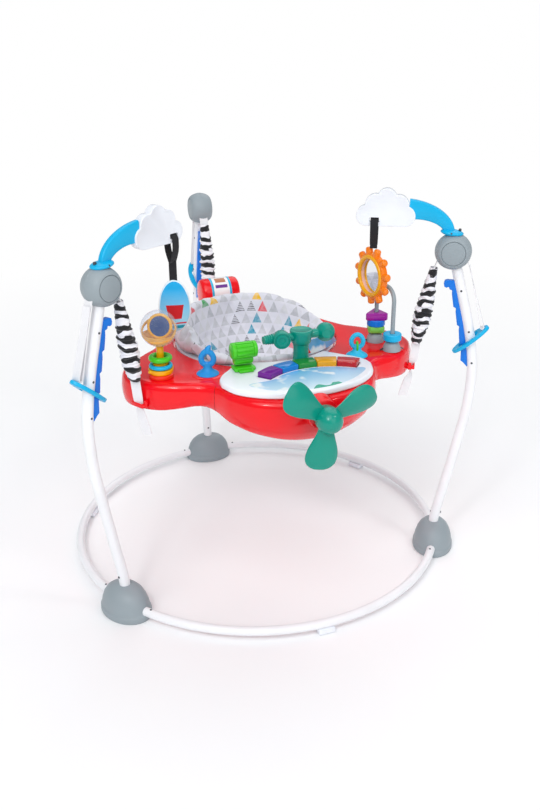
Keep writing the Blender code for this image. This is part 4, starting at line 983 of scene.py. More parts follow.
def outline_radius(degrees):
    """Distance of the tray's edge from the middle at an angle, the same left and right."""
    folded = (degrees + 90.0) % 360.0
    folded = (folded if folded <= 180.0 else 360.0 - folded) - 90.0
    before = [(-180 - a, r) for a, r in TRAY_OUTLINE[2:0:-1]]
    beyond = [(180 - a, r) for a, r in TRAY_OUTLINE[-2:-4:-1]]
    points = [*before, *TRAY_OUTLINE, *beyond]
    for (_, ra), (ab, rb), (ac, rc), (_, rd) in zip(points, points[1:], points[2:], points[3:]):
        if ab <= folded <= ac:
            t = (folded - ab) / (ac - ab)
            return 0.5 * (2 * rb + (rc - ra) * t + (2 * ra - 5 * rb + 4 * rc - rd) * t * t
                          + (3 * rb - 3 * rc + rd - ra) * t ** 3)
    raise ValueError(degrees)


def bump_at(degrees, middle, half):
    """1 at an angle, falling smoothly to 0 at half degrees away from it."""
    away = abs((degrees - middle + 180.0) % 360.0 - 180.0)
    share = max(0.0, 1.0 - away / half)
    return share * share * (3 - 2 * share)


class JUMPER_OT_tray(bpy.types.Operator):
    """Makes the red tray shell with its tail, propeller boss and buckles, and thin lines of painted shade along its
    mould seams
    """

    bl_idname = "jumper.tray"
    bl_label = "Tray shell"

    def execute(self, context):
        size = context.scene.jumper_tray
        top, hole, wall = size.top, size.hole, size.wall

        def nose(a):
            return bump_at(a, -90.0, 38.0)

        def lower(a):
            wing = max(bump_at(a, -24.0, 18.0), bump_at(a, 204.0, 18.0))
            root = max(bump_at(a, -50.0, 14.0), bump_at(a, 230.0, 14.0))
            return top - size.skirt - size.nose_drop * nose(a) - 0.005 * wing + 0.009 * root

        levels = (
            (lambda a: hole, lambda a: top - 0.036),
            (lambda a: hole, lambda a: top - 0.005),
            (lambda a: hole + 0.0015, lambda a: top - 0.0015),
            (lambda a: hole + 0.005, lambda a: top),
            (lambda a: outline_radius(a) - 0.020, lambda a: top),
            (lambda a: outline_radius(a) - 0.012, lambda a: top - 0.0008),
            (lambda a: outline_radius(a) - 0.0060, lambda a: top - 0.0034),
            (lambda a: outline_radius(a) - 0.0022, lambda a: top - 0.0080),
            (lambda a: outline_radius(a) - 0.0003, lambda a: top - 0.0150),
            (lambda a: outline_radius(a) + 0.0010 - 0.003 * nose(a), lambda a: top - 0.027 - 0.010 * nose(a)),
            (lambda a: outline_radius(a) + 0.0005 - 0.012 * nose(a), lambda a: top - 0.041 - 0.024 * nose(a)),
            (lambda a: outline_radius(a) - 0.0022 - 0.030 * nose(a), lambda a: lower(a) + 0.004),
            (lambda a: outline_radius(a) - 0.0036 - 0.033 * nose(a), lambda a: lower(a) + 0.0006),
            (lambda a: outline_radius(a) - 0.0054 - 0.034 * nose(a), lambda a: lower(a)),
            (lambda a: outline_radius(a) - 0.0062 - 0.033 * nose(a), lambda a: lower(a) + 0.0020),
            (lambda a: outline_radius(a) - wall - 0.0008 - 0.012 * nose(a), lambda a: top - 0.041 - 0.020 * nose(a)),
            (lambda a: outline_radius(a) - wall - 0.0010, lambda a: top - 0.016),
            (lambda a: outline_radius(a) - 0.018, lambda a: top - wall),
            (lambda a: hole + wall, lambda a: top - wall),
            (lambda a: hole + wall, lambda a: top - 0.036),
        )
        loops = []
        for radius, height in levels:
            loop = []
            for k in range(180):
                degrees = 2.0 * k
                a = math.radians(degrees)
                loop.append(Vector((radius(degrees) * math.cos(a), MIDDLE_Y + radius(degrees) * math.sin(a),
                                    height(degrees))))
            loops.append(loop)
        shell = lofted(loops, joined=True)

        hump = [(0.0, 0.0480), (0.020, 0.0478), (0.029, 0.0465), (0.0325, 0.0435), (0.0345, 0.0380)]
        hump += [(radius, -height) for radius, height in reversed(hump)]
        tail = moved(lathe(hump, 64), at(*TAIL), turned(90, "Y"))
        centre = Vector(JOINTS["propeller_spin"]["pos_m"])
        boss = lathe([(0.0, 0.0130), (0.0085, 0.0130), (0.0230, 0.0130), (0.0285, 0.0110), (0.0305, 0.0050),
                      (0.0330, -0.0150), (0.0, -0.0150)], 48)
        boss = moved(boss, Matrix.Translation(centre + Vector((0, 0.0343, 0))), turned(90, "X"))
        hooks = []
        for side in SIDES:
            ear = block((0.0175, 0.032, 0.0085), 0.0016)
            slot = moved(block((0.0066, 0.023, 0.03), 0.0005, 1), shift(0.0025, 0, 0),
                         turned(9, "Y"))
            ear = cut(ear, slot)
            lugs = [moved(block((0.008, 0.005, 0.016), 0.0015), shift(-0.002, way * 0.0155, 0.003))
                    for way in (-1, 1)]
            hooks.append(moved(merged(ear, *lugs), leg_plane(side), shift(0.344, 0, 0.447)))
        pads = [moved(lathe([(0, 0.0012), (0.0290, 0.0012), (0.0318, 0.0008), (0.0328, -0.0006), (0, -0.0006)], 48),
                      at(-0.160, -0.178, top))]
        finish("tray_body", [(merged(shell, tail, boss, *hooks, *pads), "red")], "tray",
               ["tray_shell"], 50)

        # The seams are thin raised threads of red darkened to 45 %: painted shade that stands for the shadow in the
        # seam grooves.
        seams = []
        for degrees in (236.0, 304.0):
            a = math.radians(degrees)
            line = [Vector(((r(degrees) + 0.0001) * math.cos(a), MIDDLE_Y + (r(degrees) + 0.0001) * math.sin(a),
                            h(degrees))) for r, h in levels[5:13]]
            seams.append(swept(smooth_path(line, 3), ring(0.00055, 6), Vector((-math.sin(a), math.cos(a), 0))))
        finish("tray_seams", [(merged(*seams), "dark red")], "tray")

        band = lathe([(0.0343, 0.0250), (0.0349, 0.0250), (0.0349, -0.0250), (0.0343, -0.0250)], 72, joined=True)
        bmesh.ops.bisect_plane(band, geom=band.verts[:] + band.edges[:] + band.faces[:], plane_co=(0.004, 0, 0),
                               plane_no=(1, 0, 0), clear_outer=True)
        bmesh.ops.holes_fill(band, edges=[e for e in band.edges if e.is_boundary], sides=0)
        band = moved(band, at(*TAIL), turned(90, "Y"))
        bmesh.ops.recalc_face_normals(band, faces=band.faces[:])
        finish("tail_band", [(band, "tail label")], "tray")
        return {"FINISHED"}


def console_outline(shrink=0.0):
    """The console from above: a round front, and a back that follows the seat's hole."""
    front = smooth_path([(-0.157, -0.262, 0), (-0.140, -0.303, 0), (-0.098, -0.338, 0), (-0.045, -0.356, 0),
                         (0.0, -0.360, 0), (0.045, -0.356, 0), (0.098, -0.338, 0), (0.140, -0.303, 0),
                         (0.157, -0.262, 0)], 5)
    right = smooth_path([(0.157, -0.262, 0), (0.1545, -0.240, 0), (0.142, -0.218, 0), (0.122, -0.1965, 0),
                         (0.0943, -0.1633, 0)], 4)[1:]
    back = [Vector((0.1885 * math.cos(a), 0.1885 * math.sin(a), 0))
            for a in [math.radians(-60 - 60 * k / 24) for k in range(1, 24)]]
    left = [Vector((-point.x, point.y, 0)) for point in reversed(right)]
    loop = [*front, *right, *back, *left]
    middle = Vector((0, -0.275, 0))
    return [middle + (point - middle) * (1 - shrink) for point in loop]


KEY_CENTRE = Vector((0.026, -0.3860, 0))
KEY_SPAN, KEY_GAP = 80.0, 0.25  # degrees that the five keys cover, and half the gap between two
KEY_COLOURS = ("purple", "blue", "green", "amber", "red")


def key_sector(first, last, inner, outer, low, high, steps=12, edge=0.0):
    """A curved key between two angles and two distances from the keys' centre."""
    angles = [math.radians(first + (last - first) * k / steps) for k in range(steps + 1)]
    outline = [KEY_CENTRE + Vector((inner * math.cos(a), inner * math.sin(a), 0)) for a in angles]
    outline += [KEY_CENTRE + Vector((outer * math.cos(a), outer * math.sin(a), 0)) for a in reversed(angles)]
    return moved(plate(outline, high - low, Z, edge, 3), at(0, 0, (low + high) / 2))


class JUMPER_OT_console(bpy.types.Operator):
    """Makes the white console, its sky label and the five keys"""

    bl_idname = "jumper.console"
    bl_label = "Console and keys"

    def execute(self, context):
        size = context.scene.jumper_tray
        top = size.console_top
        thick = top - size.top - 0.0003
        panel = moved(plate(console_outline(), thick, Z, 0.0042, 4), at(0, 0, top - thick / 2))
        recess = key_sector(90 - KEY_SPAN / 2 - 0.6, 90 + KEY_SPAN / 2 + 0.6, 0.1390, 0.1712, top - 0.0062,
                            top + 0.01, 40)
        panel = cut(panel, recess)
        finish("console_deck", [(panel, "white")], "tray", ["console_panel"], 45)

        front = [(-0.111, -0.290), (-0.092, -0.3205), (-0.058, -0.3400), (-0.015, -0.3490), (0.040, -0.3460),
                 (0.088, -0.3275), (0.124, -0.2990), (0.1310, -0.2860), (0.1230, -0.2800)]
        arc = [KEY_CENTRE.xy + Vector((math.cos(a), math.sin(a))) * 0.1350
               for a in [math.radians(52 + 13 * k) for k in range(7)]]
        outline = smooth_path([(*point, 0) for point in [*front, *arc]], 5, closed=True)
        label = moved(plate(outline, 0.0010, Z, 0.0003, 1), at(0, 0, top + 0.0002))
        finish("console_label", [(label, "sky")], "tray")

        def fence(first, last, inner, outer, foot, head):
            """A low curved panel on the console's back edge, leaning towards the seat."""
            levels = []
            for k in range(25):
                a = math.radians(first + (last - first) * k / 24)
                out, rise = Vector((math.cos(a), math.sin(a), 0)), min(1.0, 6 * k / 24, 6 * (24 - k) / 24)
                tall = foot + (head - foot) * (0.35 + 0.65 * rise)
                levels.append([out * inner[0] + Z * foot, out * outer[0] + Z * foot, out * outer[1] + Z * tall,
                               out * inner[1] + Z * tall])
            return moved(lofted(levels), at(0, 0, 0))

        panel = fence(-84.0, -40.0, (0.1842, 0.1800), (0.1868, 0.1818), top - 0.0002, top + 0.028)
        red = fence(-80.0, -71.0, (0.1867, 0.1821), (0.1871, 0.1825), top + 0.003, top + 0.0235)
        finish("console_splash", [(panel, "sky"), (red, "red")], "tray")

        share = KEY_SPAN / len(KEY_COLOURS)
        for k, name in enumerate(KEY_COLOURS):
            first = 90 + KEY_SPAN / 2 - share * (k + 1) + KEY_GAP
            key = key_sector(first, first + share - 2 * KEY_GAP, 0.1400, 0.1702, top - 0.0025, top + 0.0100, 10, 0.0018)
            finish("piano_key_" + name, [(key, "key " + name)], "key_" + name, ["key_" + name])
        return {"FINISHED"}


class JUMPER_OT_propeller(bpy.types.Operator):
    """Makes the three-bladed propeller on the nose"""

    bl_idname = "jumper.propeller"
    bl_label = "Propeller"

    def execute(self, context):
        reach = context.scene.jumper_tray.blade_reach
        hub = lathe([(0.0, 0.0310), (0.006, 0.0304), (0.0125, 0.0280), (0.0182, 0.0236), (0.0222, 0.0175),
                     (0.0244, 0.0100), (0.0252, 0.0030), (0.0250, -0.0050), (0.0236, -0.0062), (0.0232, -0.0150),
                     (0.0215, -0.0205), (0.0060, -0.0205), (0.0060, -0.0380), (0.0, -0.0380)], 56)
        parts = [moved(hub, turned(90, "X"))]
        for k in range(3):
            levels = []
            for j in range(1, 24):
                t = 1 - (1 - j / 24) ** 1.6
                wide = (0.0135 + 0.0172 * math.sin(math.pi / 2 * min(1.0, t / 0.74)) ** 2) * (
                    1 - max(0.0, (t - 0.70) / 0.305) ** 3.0) ** 0.5
                thick = 0.0026 + 0.0040 * math.sin(math.pi * t) * min(1.0, wide / 0.02)
                loop = []
                for i in range(28):
                    a = 2 * math.pi * i / 28
                    x = wide * math.copysign(abs(math.cos(a)) ** 0.8, math.cos(a))
                    cup = -0.0045 * (1 - (x / 0.031) ** 2)
                    loop.append(Vector((x + 0.004 * t * t, thick * wide / 0.0307 * math.sin(a) + cup,
                                        0.010 + (reach - 0.010) * t)))
                levels.append(loop)
            blade = lofted(levels)
            parts.append(moved(blade, shift(0, 0.006, 0), turned(-54 + 120 * k, "Y"), turned(12, "Z")))
        place = Matrix.Translation(JOINTS["propeller_spin"]["pos_m"])
        finish("propeller_body", [(moved(merged(*parts), place), "teal")], "propeller",
               ["propeller"], 50)
        return {"FINISHED"}


class JUMPER_OT_yoke(bpy.types.Operator):
    """Makes the steering yoke and its column"""

    bl_idname = "jumper.yoke"
    bl_label = "Steering yoke"

    def execute(self, context):
        low = context.scene.jumper_tray.console_top + 0.0002
        place = Matrix.Translation(JOINTS["yoke_turn"]["pos_m"])
        base = shift(place.translation.x, place.translation.y, low)
        column = lathe([(0.0, 0.0), (0.0165, 0.0), (0.0165, 0.0040), (0.0160, 0.0060), (0.0157, 0.0120),
                        (0.0155, 0.0220), (0.0162, 0.0320), (0.0172, 0.0358), (0.0, 0.0358)], 48)
        finish("yoke_column", [(moved(column, base), "teal")], "tray", ["yoke_post"],
               35)
        cap = lathe([(0.0, 0.0002), (0.0185, 0.0002), (0.0200, 0.0020), (0.0208, 0.0100), (0.0222, 0.0200),
                     (0.0230, 0.0250), (0.0222, 0.0272), (0.0190, 0.0280), (0.0170, 0.0270), (0.0, 0.0268)], 48)
        left_arm = moved(lathe([(0, 0.015), (0.0075, 0.015), (0.0088, 0), (0.0075, -0.015), (0, -0.015)], 24),
                         shift(-0.031, 0, 0.015), turned(90, "Y"))
        dial = lathe([(0, 0.0085), (0.0055, 0.0085), (0.0065, 0.0100), (0.0120, 0.0100), (0.0128, 0.0088),
                      (0.0140, 0.0088), (0.0150, 0.0108), (0.0168, 0.0100), (0.0178, 0.0070), (0.0178, -0.0070),
                      (0.0160, -0.0100), (0, -0.0110)], 48)
        dial = moved(dial, shift(-0.046, -0.006, 0.015), turned(-16, "Z"), turned(90, "X"))
        ribs = []
        for k in range(6):
            ribs += [(0.0108 - 0.0004 * k, -0.0500 - 0.0048 * k), (0.0112 - 0.0004 * k, -0.0514 - 0.0048 * k),
                     (0.0112 - 0.0004 * k, -0.0528 - 0.0048 * k), (0.0098 - 0.0004 * k, -0.0538 - 0.0048 * k)]
        grip = moved(lathe([(0, -0.048), *ribs, (0.0080, -0.0812), (0, -0.0824)], 32),
                     shift(0, 0.004, 0.015), turned(90, "Y"))
        right_arm = moved(lathe([(0, 0.015), (0.0080, 0.015), (0.0092, 0), (0.0080, -0.015), (0, -0.015)], 24),
                          shift(0.031, 0, 0.015), turned(90, "Y"))
        knob = lathe([(0, 0.0172), (0.0070, 0.0172), (0.0080, 0.0180), (0.0105, 0.0174), (0.0115, 0.0158),
                      (0.0160, 0.0115), (0.0188, 0.0055), (0.0196, 0.0), (0.0188, -0.0060), (0.0155, -0.0120),
                      (0.0100, -0.0160), (0, -0.0178)], 48)
        knob = moved(knob, shift(0.054, -0.002, 0.015), turned(-16, "Z"), turned(82, "X"))
        head = moved(merged(cap, left_arm, dial, grip, right_arm, knob), place, turned(5.0, "Z"))
        finish("yoke_grips", [(head, "teal")], "yoke_head", ["yoke_head"], 35)
        return {"FINISHED"}


class JUMPER_OT_rattle(bpy.types.Operator):
    """Makes the rattle: stacked cup, loose ring and the clear globe with its mirror disc"""

    bl_idname = "jumper.rattle"
    bl_label = "Rattle"

    def execute(self, context):
        size = context.scene.jumper_tray
        spin = JOINTS["globe_spin"]["pos_m"]
        place = shift(spin[0], spin[1], size.top + 0.0004)
        foot = lathe([(0, 0), (0.0236, 0), (0.0246, 0.0020), (0.0240, 0.0068), (0.0220, 0.0082), (0, 0.0082)], 48)
        cup = lathe([(0, 0.0078), (0.0205, 0.0078), (0.0232, 0.0095), (0.0246, 0.0140), (0.0246, 0.0172),
                     (0.0236, 0.0182), (0.0190, 0.0184), (0, 0.0184)], 48)
        ears = [moved(ball((0.0052, 0.0044, 0.0036), 20), shift(0.0240 * math.cos(a),
                                                                             0.0240 * math.sin(a), 0.0150))
                for a in (math.radians(20), math.radians(200))]
        ring_part = torus(0.0192, 0.0042, 48, 16, 0.0232)
        stem = lathe([(0, 0.018), (0.0120, 0.018), (0.0160, 0.0300), (0.0105, 0.0322), (0.0074, 0.0340),
                      (0.0070, 0.0600), (0.0080, 0.0632), (0.0046, 0.0640), (0.0046, 0.0755), (0, 0.0758)], 40)
        parts = [(foot, "orange red"), (merged(cup, *ears, stem), "yellow"), (ring_part, "cyan")]
        finish("rattle_cup", [(moved(bm, place), shade) for bm, shade in parts], "tray",
               ["rattle_stand"], 35)
        loose = moved(torus(0.0176, 0.0058, 56, 20, 0.0392), place)
        finish("rattle_loose_ring", [(loose, "green")], "rattle_ring", ["rattle_ring"])

        radius = size.globe
        arc = [math.radians(a) for a in range(-78, 91, 8)]
        outer = [(radius * math.cos(a), 0.0995 + radius * math.sin(a)) for a in arc]
        outer[-1] = (0.0, 0.0995 + radius)
        inner = [((radius - 0.0011) * math.cos(a), 0.0995 + (radius - 0.0011) * math.sin(a)) for a in reversed(arc)]
        inner[0] = (0.0, 0.0995 + radius - 0.0011)
        globe = moved(lathe([*outer, *inner], 56, joined=True), place)
        facing = shift(0, 0, 0.0995) @ Vector((-0.45, -0.85, 0.25)).to_track_quat(
            "Z", "Y").to_matrix().to_4x4()
        tilted = shift(0, 0, 0.0960) @ Vector((-0.20, -0.48, 0.85)).to_track_quat(
            "Z", "Y").to_matrix().to_4x4()
        hoop = moved(lathe([(radius - 0.0040 + a, b * 2.0) for a, b in ring(0.0018, 12)], 64, joined=True), place,
                     tilted)
        bowl_arc = [math.radians(a) for a in range(-80, -16, 7)]
        bowl = [((radius - 0.0018) * math.cos(a), 0.0995 + (radius - 0.0018) * math.sin(a)) for a in bowl_arc]
        bowl += [((radius - 0.0030) * math.cos(a), 0.0995 + (radius - 0.0030) * math.sin(a))
                 for a in reversed(bowl_arc)]
        bowl = moved(lathe(bowl, 56, joined=True), place)
        socket = lathe([(0.0049, 0.0645), (0.0085, 0.0645), (0.0095, 0.0680), (0.0070, 0.0800), (0, 0.0810),
                        (0, 0.0775), (0.0049, 0.0775)], 32)
        socket = moved(socket, place)
        disc = lathe([(0, 0.0016), (0.0200, 0.0016), (0.0205, 0), (0.0200, -0.0016), (0, -0.0016)], 48)
        disc = moved(disc, place, facing, shift(0.002, 0.004, 0))
        hem = moved(torus(0.0222, 0.0030, 56, 12), place, facing, shift(0.002, 0.004, 0))
        finish("rattle_clear_globe", [(globe, "clear")], "rattle_globe", ["rattle_globe"],
               60)
        finish("rattle_globe_core",
               [(merged(hoop, hem, socket), "yellow"), (bowl, "clear yellow"),
                (disc, "blue mirror")], "rattle_globe")
        return {"FINISHED"}


class JUMPER_OT_small_toys(bpy.types.Operator):
    """Makes the roller toy, the teethers, the bead arch and its beads"""

    bl_idname = "jumper.small_toys"
    bl_label = "Roller, teethers and beads"

    def execute(self, context):
        size = context.scene.jumper_tray
        low = size.console_top + 0.0004
        flip_x, flip_y = JOINTS["flip_toy_bend"]["pos_m"][:2]
        foot = merged(moved(block((0.044, 0.026, 0.008), 0.0026, 3), shift(0, -0.0065, 0.004)),
                      moved(block((0.030, 0.012, 0.006), 0.002), shift(0, -0.022, 0.0032)))
        finish("roller_foot", [(moved(foot, shift(flip_x, flip_y, low)), "green")],
               "tray", ["flip_toy_foot"])
        ends = [(0, 0.0265), (0.0120, 0.0265), (0.0158, 0.0245), (0.0165, 0.0215), (0.0165, 0.0180),
                (0.0150, 0.0172)]
        barrel = lathe(ends + [(radius, -along) for radius, along in reversed(ends)], 40)
        bars = [moved(block((0.0344, 0.0052, 0.0024), 0.0008), turned(30 * k + 12, "X"),
                      shift(0, 0, 0.0152)) for k in range(12)]
        barrel = moved(merged(moved(barrel, turned(90, "Y")), *bars), shift(0, -0.0085, 0.0414))
        neck_path = smooth_path([(0, -0.0005, 0.0100), (0, 0.0010, 0.0165), (0, -0.0005, 0.0265),
                                 (0, -0.0075, 0.0365)], 5)
        neck = swept(neck_path, strip(0.006, 0.034, 0.0016), X)
        small = lathe([(0, 0.0195), (0.0075, 0.0195), (0.0092, 0.0180), (0.0092, -0.0180), (0.0075, -0.0195),
                       (0, -0.0195)], 32)
        slats = [moved(block((0.0330, 0.0032, 0.0020), 0.0006), turned(45 * k + 10, "X"),
                       shift(0, 0, 0.0094)) for k in range(8)]
        small = moved(merged(moved(small, turned(90, "Y")), *slats), shift(0, -0.0035, 0.0205))
        toy = moved(merged(barrel, neck, small), shift(flip_x, flip_y, low))
        finish("roller_barrel", [(toy, "green")], "flip_toy", ["flip_toy"], 35)

        for side, x, y, height, tube in (("left", -0.160, -0.178, 0.0340, 0.0058),
                                         ("right", 0.160, -0.188, 0.0330, 0.0048)):
            place = at(x, y, size.top + 0.0004, -20.0)
            cone = lathe([(0, 0), (0.0222, 0), (0.0226, 0.0018), (0.0205, 0.0040), (0.0150, 0.0072),
                          (0.0105, 0.0110), (0.0082, 0.0160), (0.0078, height - 0.0100), (0, height - 0.0080)], 48)
            loop = [Vector((0.0122 * math.sin(a) * (1 + 0.12 * math.cos(a)), 0, height - 0.0005 + 0.0138
                            * -math.cos(a))) for a in [2 * math.pi * k / 48 for k in range(48)]]
            parts = [cone, swept(loop, ring(tube, 18), closed=True)]
            if side == "left":
                horn = smooth_path([(0.000, 0, height + 0.0110), (0.0012, 0, height + 0.0165),
                                    (0.0032, 0, height + 0.0215), (0.0066, 0, height + 0.0262)], 5)
                parts.append(swept(horn, lambda t: ring(0.0072 * (1 - 0.72 * t * t), 16)))
                shade, extra = "teether", []
            else:
                shade = "cyan silicone"
                link = [Vector((0, 0.0090 * math.sin(a), height - 0.0125 + 0.0100 * -math.cos(a)))
                        for a in [2 * math.pi * k / 32 for k in range(32)]]
                extra = [(moved(swept(link, ring(0.0022, 12), X, closed=True), place), "green")]
            finish("soft_loop_" + side, [(moved(merged(*parts), place), shade), *extra], "tray",
                   ["loop_teether_" + side], 45)

        rear, front = Vector((0.237, -0.118, 0)), Vector((0.244, -0.182, 0))
        span = front - rear
        half, straight = span.length / 2, 0.098
        # The arch leans out a little, clear of the sun when that swings towards it.
        outward = Vector((0.0030, 0, 0))
        path = [rear + Z * 0.012 * k for k in range(1, 9)]
        for k in range(25):
            angle = math.pi * (1 - k / 24)
            path.append((rear + front) / 2 + span.normalized() * half * math.cos(angle)
                        + Z * (straight + half * math.sin(angle)) + outward * math.sin(angle))
        path += [front + Z * 0.012 * k for k in range(8, 0, -1)]
        rod = swept(path, ring(size.rod, 20), span.normalized().cross(Z))
        domes, clips = [], []
        for post in (rear, front):
            dome = lathe([(0, 0.0215), (0.0064, 0.0214), (0.0105, 0.0196), (0.0145, 0.0160), (0.0172, 0.0105),
                          (0.0186, 0.0050), (0.0192, 0.0), (0, 0)], 48)
            domes.append(moved(dome, Matrix.Translation(post)))
            for way in (-1, 1):
                clips.append(moved(block((0.008, 0.004, 0.0024), 0.0006),
                                   Matrix.Translation(post + Vector((way * 0.0215, -0.004 * way, 0.0030))),
                                   turned(way * 24, "Y")))
        base = at(0, 0, size.top + 0.0004)
        finish("bead_arch_rod", [(moved(merged(rod, *domes), base), "grey"),
                                 (moved(merged(*clips), base), "dark steel")], "tray",
               ["bead_arch"], 40)

        beads = (("green", rear, 0.0225, 0.0135, 0.0215, 4, 25, "pale green", "green_plastic"),
                 ("blue", rear, 0.0363, 0.0140, 0.0195, 16, 0, "blue", "blue_plastic"),
                 ("purple", rear, 0.0506, 0.0158, 0.0258, 3, 70, "purple", "purple_plastic"),
                 ("nut", front, 0.0225, 0.0145, 0.0195, 6, 10, "cyan", "cyan_plastic"))
        for name, post, height, thick, radius, corners, turn, shade, slot in beads:
            sector = 2 * math.pi / corners
            outer, inner = [], []
            for k in range(72):
                angle = 2 * math.pi * k / 72
                away = (angle + sector / 2) % sector - sector / 2
                flat = math.cos(sector / 2) / math.cos(sector / 2 - abs(away))
                reach = radius * (1.0 if corners > 12 else min(1.0, flat * 1.16))
                spin = Matrix.Rotation(math.radians(turn), 3, "Z") @ Vector((math.cos(angle), math.sin(angle), 0))
                outer.append(spin * reach)
                inner.append(spin * 0.0058)
            edge = 0.0018
            levels = [inner, [p * 1.1 for p in inner], [p * 0.93 for p in outer], outer,
                      [p + Z * (thick - 2 * edge) for p in outer], [p * 0.93 + Z * (thick - edge) for p in outer],
                      [p * 1.1 + Z * (thick - edge) for p in inner], [p + Z * (thick - edge) for p in inner]]
            levels = [[p - Z * (edge if k < 3 else 0) for p in level] for k, level in enumerate(levels)]
            bead = moved(lofted(levels, joined=True), base, Matrix.Translation(post + Z * (height + edge)))
            finish("bead_" + name + "_piece", [(bead, shade)], "bead_" + name, ["bead_" + name],
                   35)
        return {"FINISHED"}


# ---------------------------------------------------------------- seat and hanging toys

def seat_back(degrees):
    """How far the seat's edge rises at an angle: 1 behind the child, 0 in front."""
    share = min(1.0, max(0.0, (math.sin(math.radians(degrees - 25.0)) + 0.40) / 1.05))
    return share * share * (3 - 2 * share)


def puff(obj, cap, frames=20, pressure=4.0, voxel=0.005):
    """Blows a closed piece up a little as cloth, and keeps each point within cap of where it was."""
    remesh = obj.modifiers.new("remesh", "REMESH")
    remesh.mode, remesh.voxel_size = "VOXEL", voxel
    graph = bpy.context.evaluated_depsgraph_get()
    mesh = bpy.data.meshes.new_from_object(obj.evaluated_get(graph))
    obj.modifiers.clear()
    material = obj.data.materials[0]
    obj.data = mesh
    obj.data.materials.clear()
    obj.data.materials.append(material)
    rest = [vert.co.copy() for vert in mesh.vertices]
    cloth = obj.modifiers.new("cloth", "CLOTH")
    cloth.settings.quality = 3
    cloth.settings.use_pressure = True
    cloth.settings.uniform_pressure_force = pressure
    cloth.settings.effector_weights.gravity = 0
    cloth.settings.tension_stiffness = cloth.settings.compression_stiffness = 12
    cloth.point_cache.frame_start, cloth.point_cache.frame_end = 1, frames
    for step in range(1, frames + 1):
        bpy.context.scene.frame_set(step)
    graph = bpy.context.evaluated_depsgraph_get()
    shape = obj.evaluated_get(graph).to_mesh()
    swollen = [vert.co.copy() for vert in shape.vertices]
    obj.modifiers.clear()
    bpy.context.scene.frame_set(1)
    for vert, before, after in zip(mesh.vertices, rest, swollen):
        step = after - before
        if step.length > cap:
            step *= cap / step.length
        vert.co = before + step
    mesh.shade_smooth()
    smooth = obj.modifiers.new("smooth", "SUBSURF")
    smooth.levels = smooth.render_levels = 1
    return obj


class JUMPER_OT_seat(bpy.types.Operator):
    """Makes the padded seat with its leg holes, and finishes the ring that it turns on"""

    bl_idname = "jumper.seat"
    bl_label = "Seat"

    def execute(self, context):
        rise = context.scene.jumper_tray.seat_rise
        # Distance, height and the share of the back's rise, from the outside bottom over the edge and in.
        rows = ((0.060, 0.3655, 0), (0.095, 0.3795, 0), (0.126, 0.4150, 0), (0.1455, 0.4600, 0),
                (0.1490, 0.4870, 0), (0.1690, 0.4915, 0.05), (0.1745, 0.4960, 0.35), (0.1755, 0.5020, 0.80),
                (0.1735, 0.5070, 1.05), (0.1690, 0.5090, 1.14), (0.1635, 0.5075, 1.10), (0.1575, 0.5010, 0.80),
                (0.1510, 0.4920, 0.36), (0.1440, 0.4780, 0.10), (0.1400, 0.4620, 0), (0.1200, 0.4230, 0),
                (0.088, 0.3885, 0), (0.055, 0.3765, 0))
        levels = []
        for distance, height, share in rows:
            loop = []
            for k in range(120):
                degrees = 3.0 * k
                a = math.radians(degrees)
                back = seat_back(degrees) * share
                gather = 0.0028 * share * math.sin(13 * a) * (0.35 + bump_at(degrees, 195.0, 60.0))
                radius = distance - 0.012 * back + gather
                loop.append(Vector((radius * math.cos(a), MIDDLE_Y + radius * math.sin(a),
                                    height + rise * back + 0.4 * gather)))
            levels.append(loop)
        seat = lofted(levels)
        for degrees in (-122.0, -58.0):
            a = math.radians(degrees)
            hole = moved(ball((0.046, 0.046, 0.036), 32), at(0.098 * math.cos(a), 0.098 * math.sin(a), 0.402))
            seat = cut(seat, hole)
        padded = finish("seat_pad", [(seat, "triangles")], "seat", ["seat_fabric"], 80)
        puff(padded, 0.0035)
        for vert in padded.data.vertices:
            a = math.degrees(math.atan2(vert.co.y - MIDDLE_Y, vert.co.x))
            share = min(1.0, max(0.0, (vert.co.z - 0.40) / 0.08)) * (0.5 + 0.9 * bump_at(a, -165.0, 70.0))
            fold = noise.noise(vert.co * 19.0) + 0.55 * noise.noise(vert.co * 46.0 + Vector((5, 0, 0)))
            vert.co += vert.normal * 0.0105 * share * fold
        for material_slot in frame["nodes"]["seat_ring"].material_slots:
            material_slot.material = Finishes.get("white")
        return {"FINISHED"}


def hanging_strap(width, drop, twist, thick=0.0014):
    """A sewn strap looped over a cloud's bar, hanging drop below it; the bar is the origin."""
    over = [(0.0113 * math.cos(a), 0.0113 * math.sin(a)) for a in [math.pi * k / 12 for k in range(13)]]
    down = [(-0.0112, -0.0130), (-0.0098, -0.0220), (-0.0060, -0.0330), (-0.0022, -0.0420)]
    path = [*over, *down, (0.0, -0.0440), *[(-y, z) for y, z in reversed(down)]]
    loop = swept([Vector((0, y, z)) for y, z in path], strip(thick, width), X, closed=True)
    tail = moved(block((width - 0.001, 0.0030, drop - 0.0400), 0.0004, 1),
                 shift(0, 0, -(drop + 0.0400) / 2), turned(twist, "Z"))
    return merged(loop, tail)


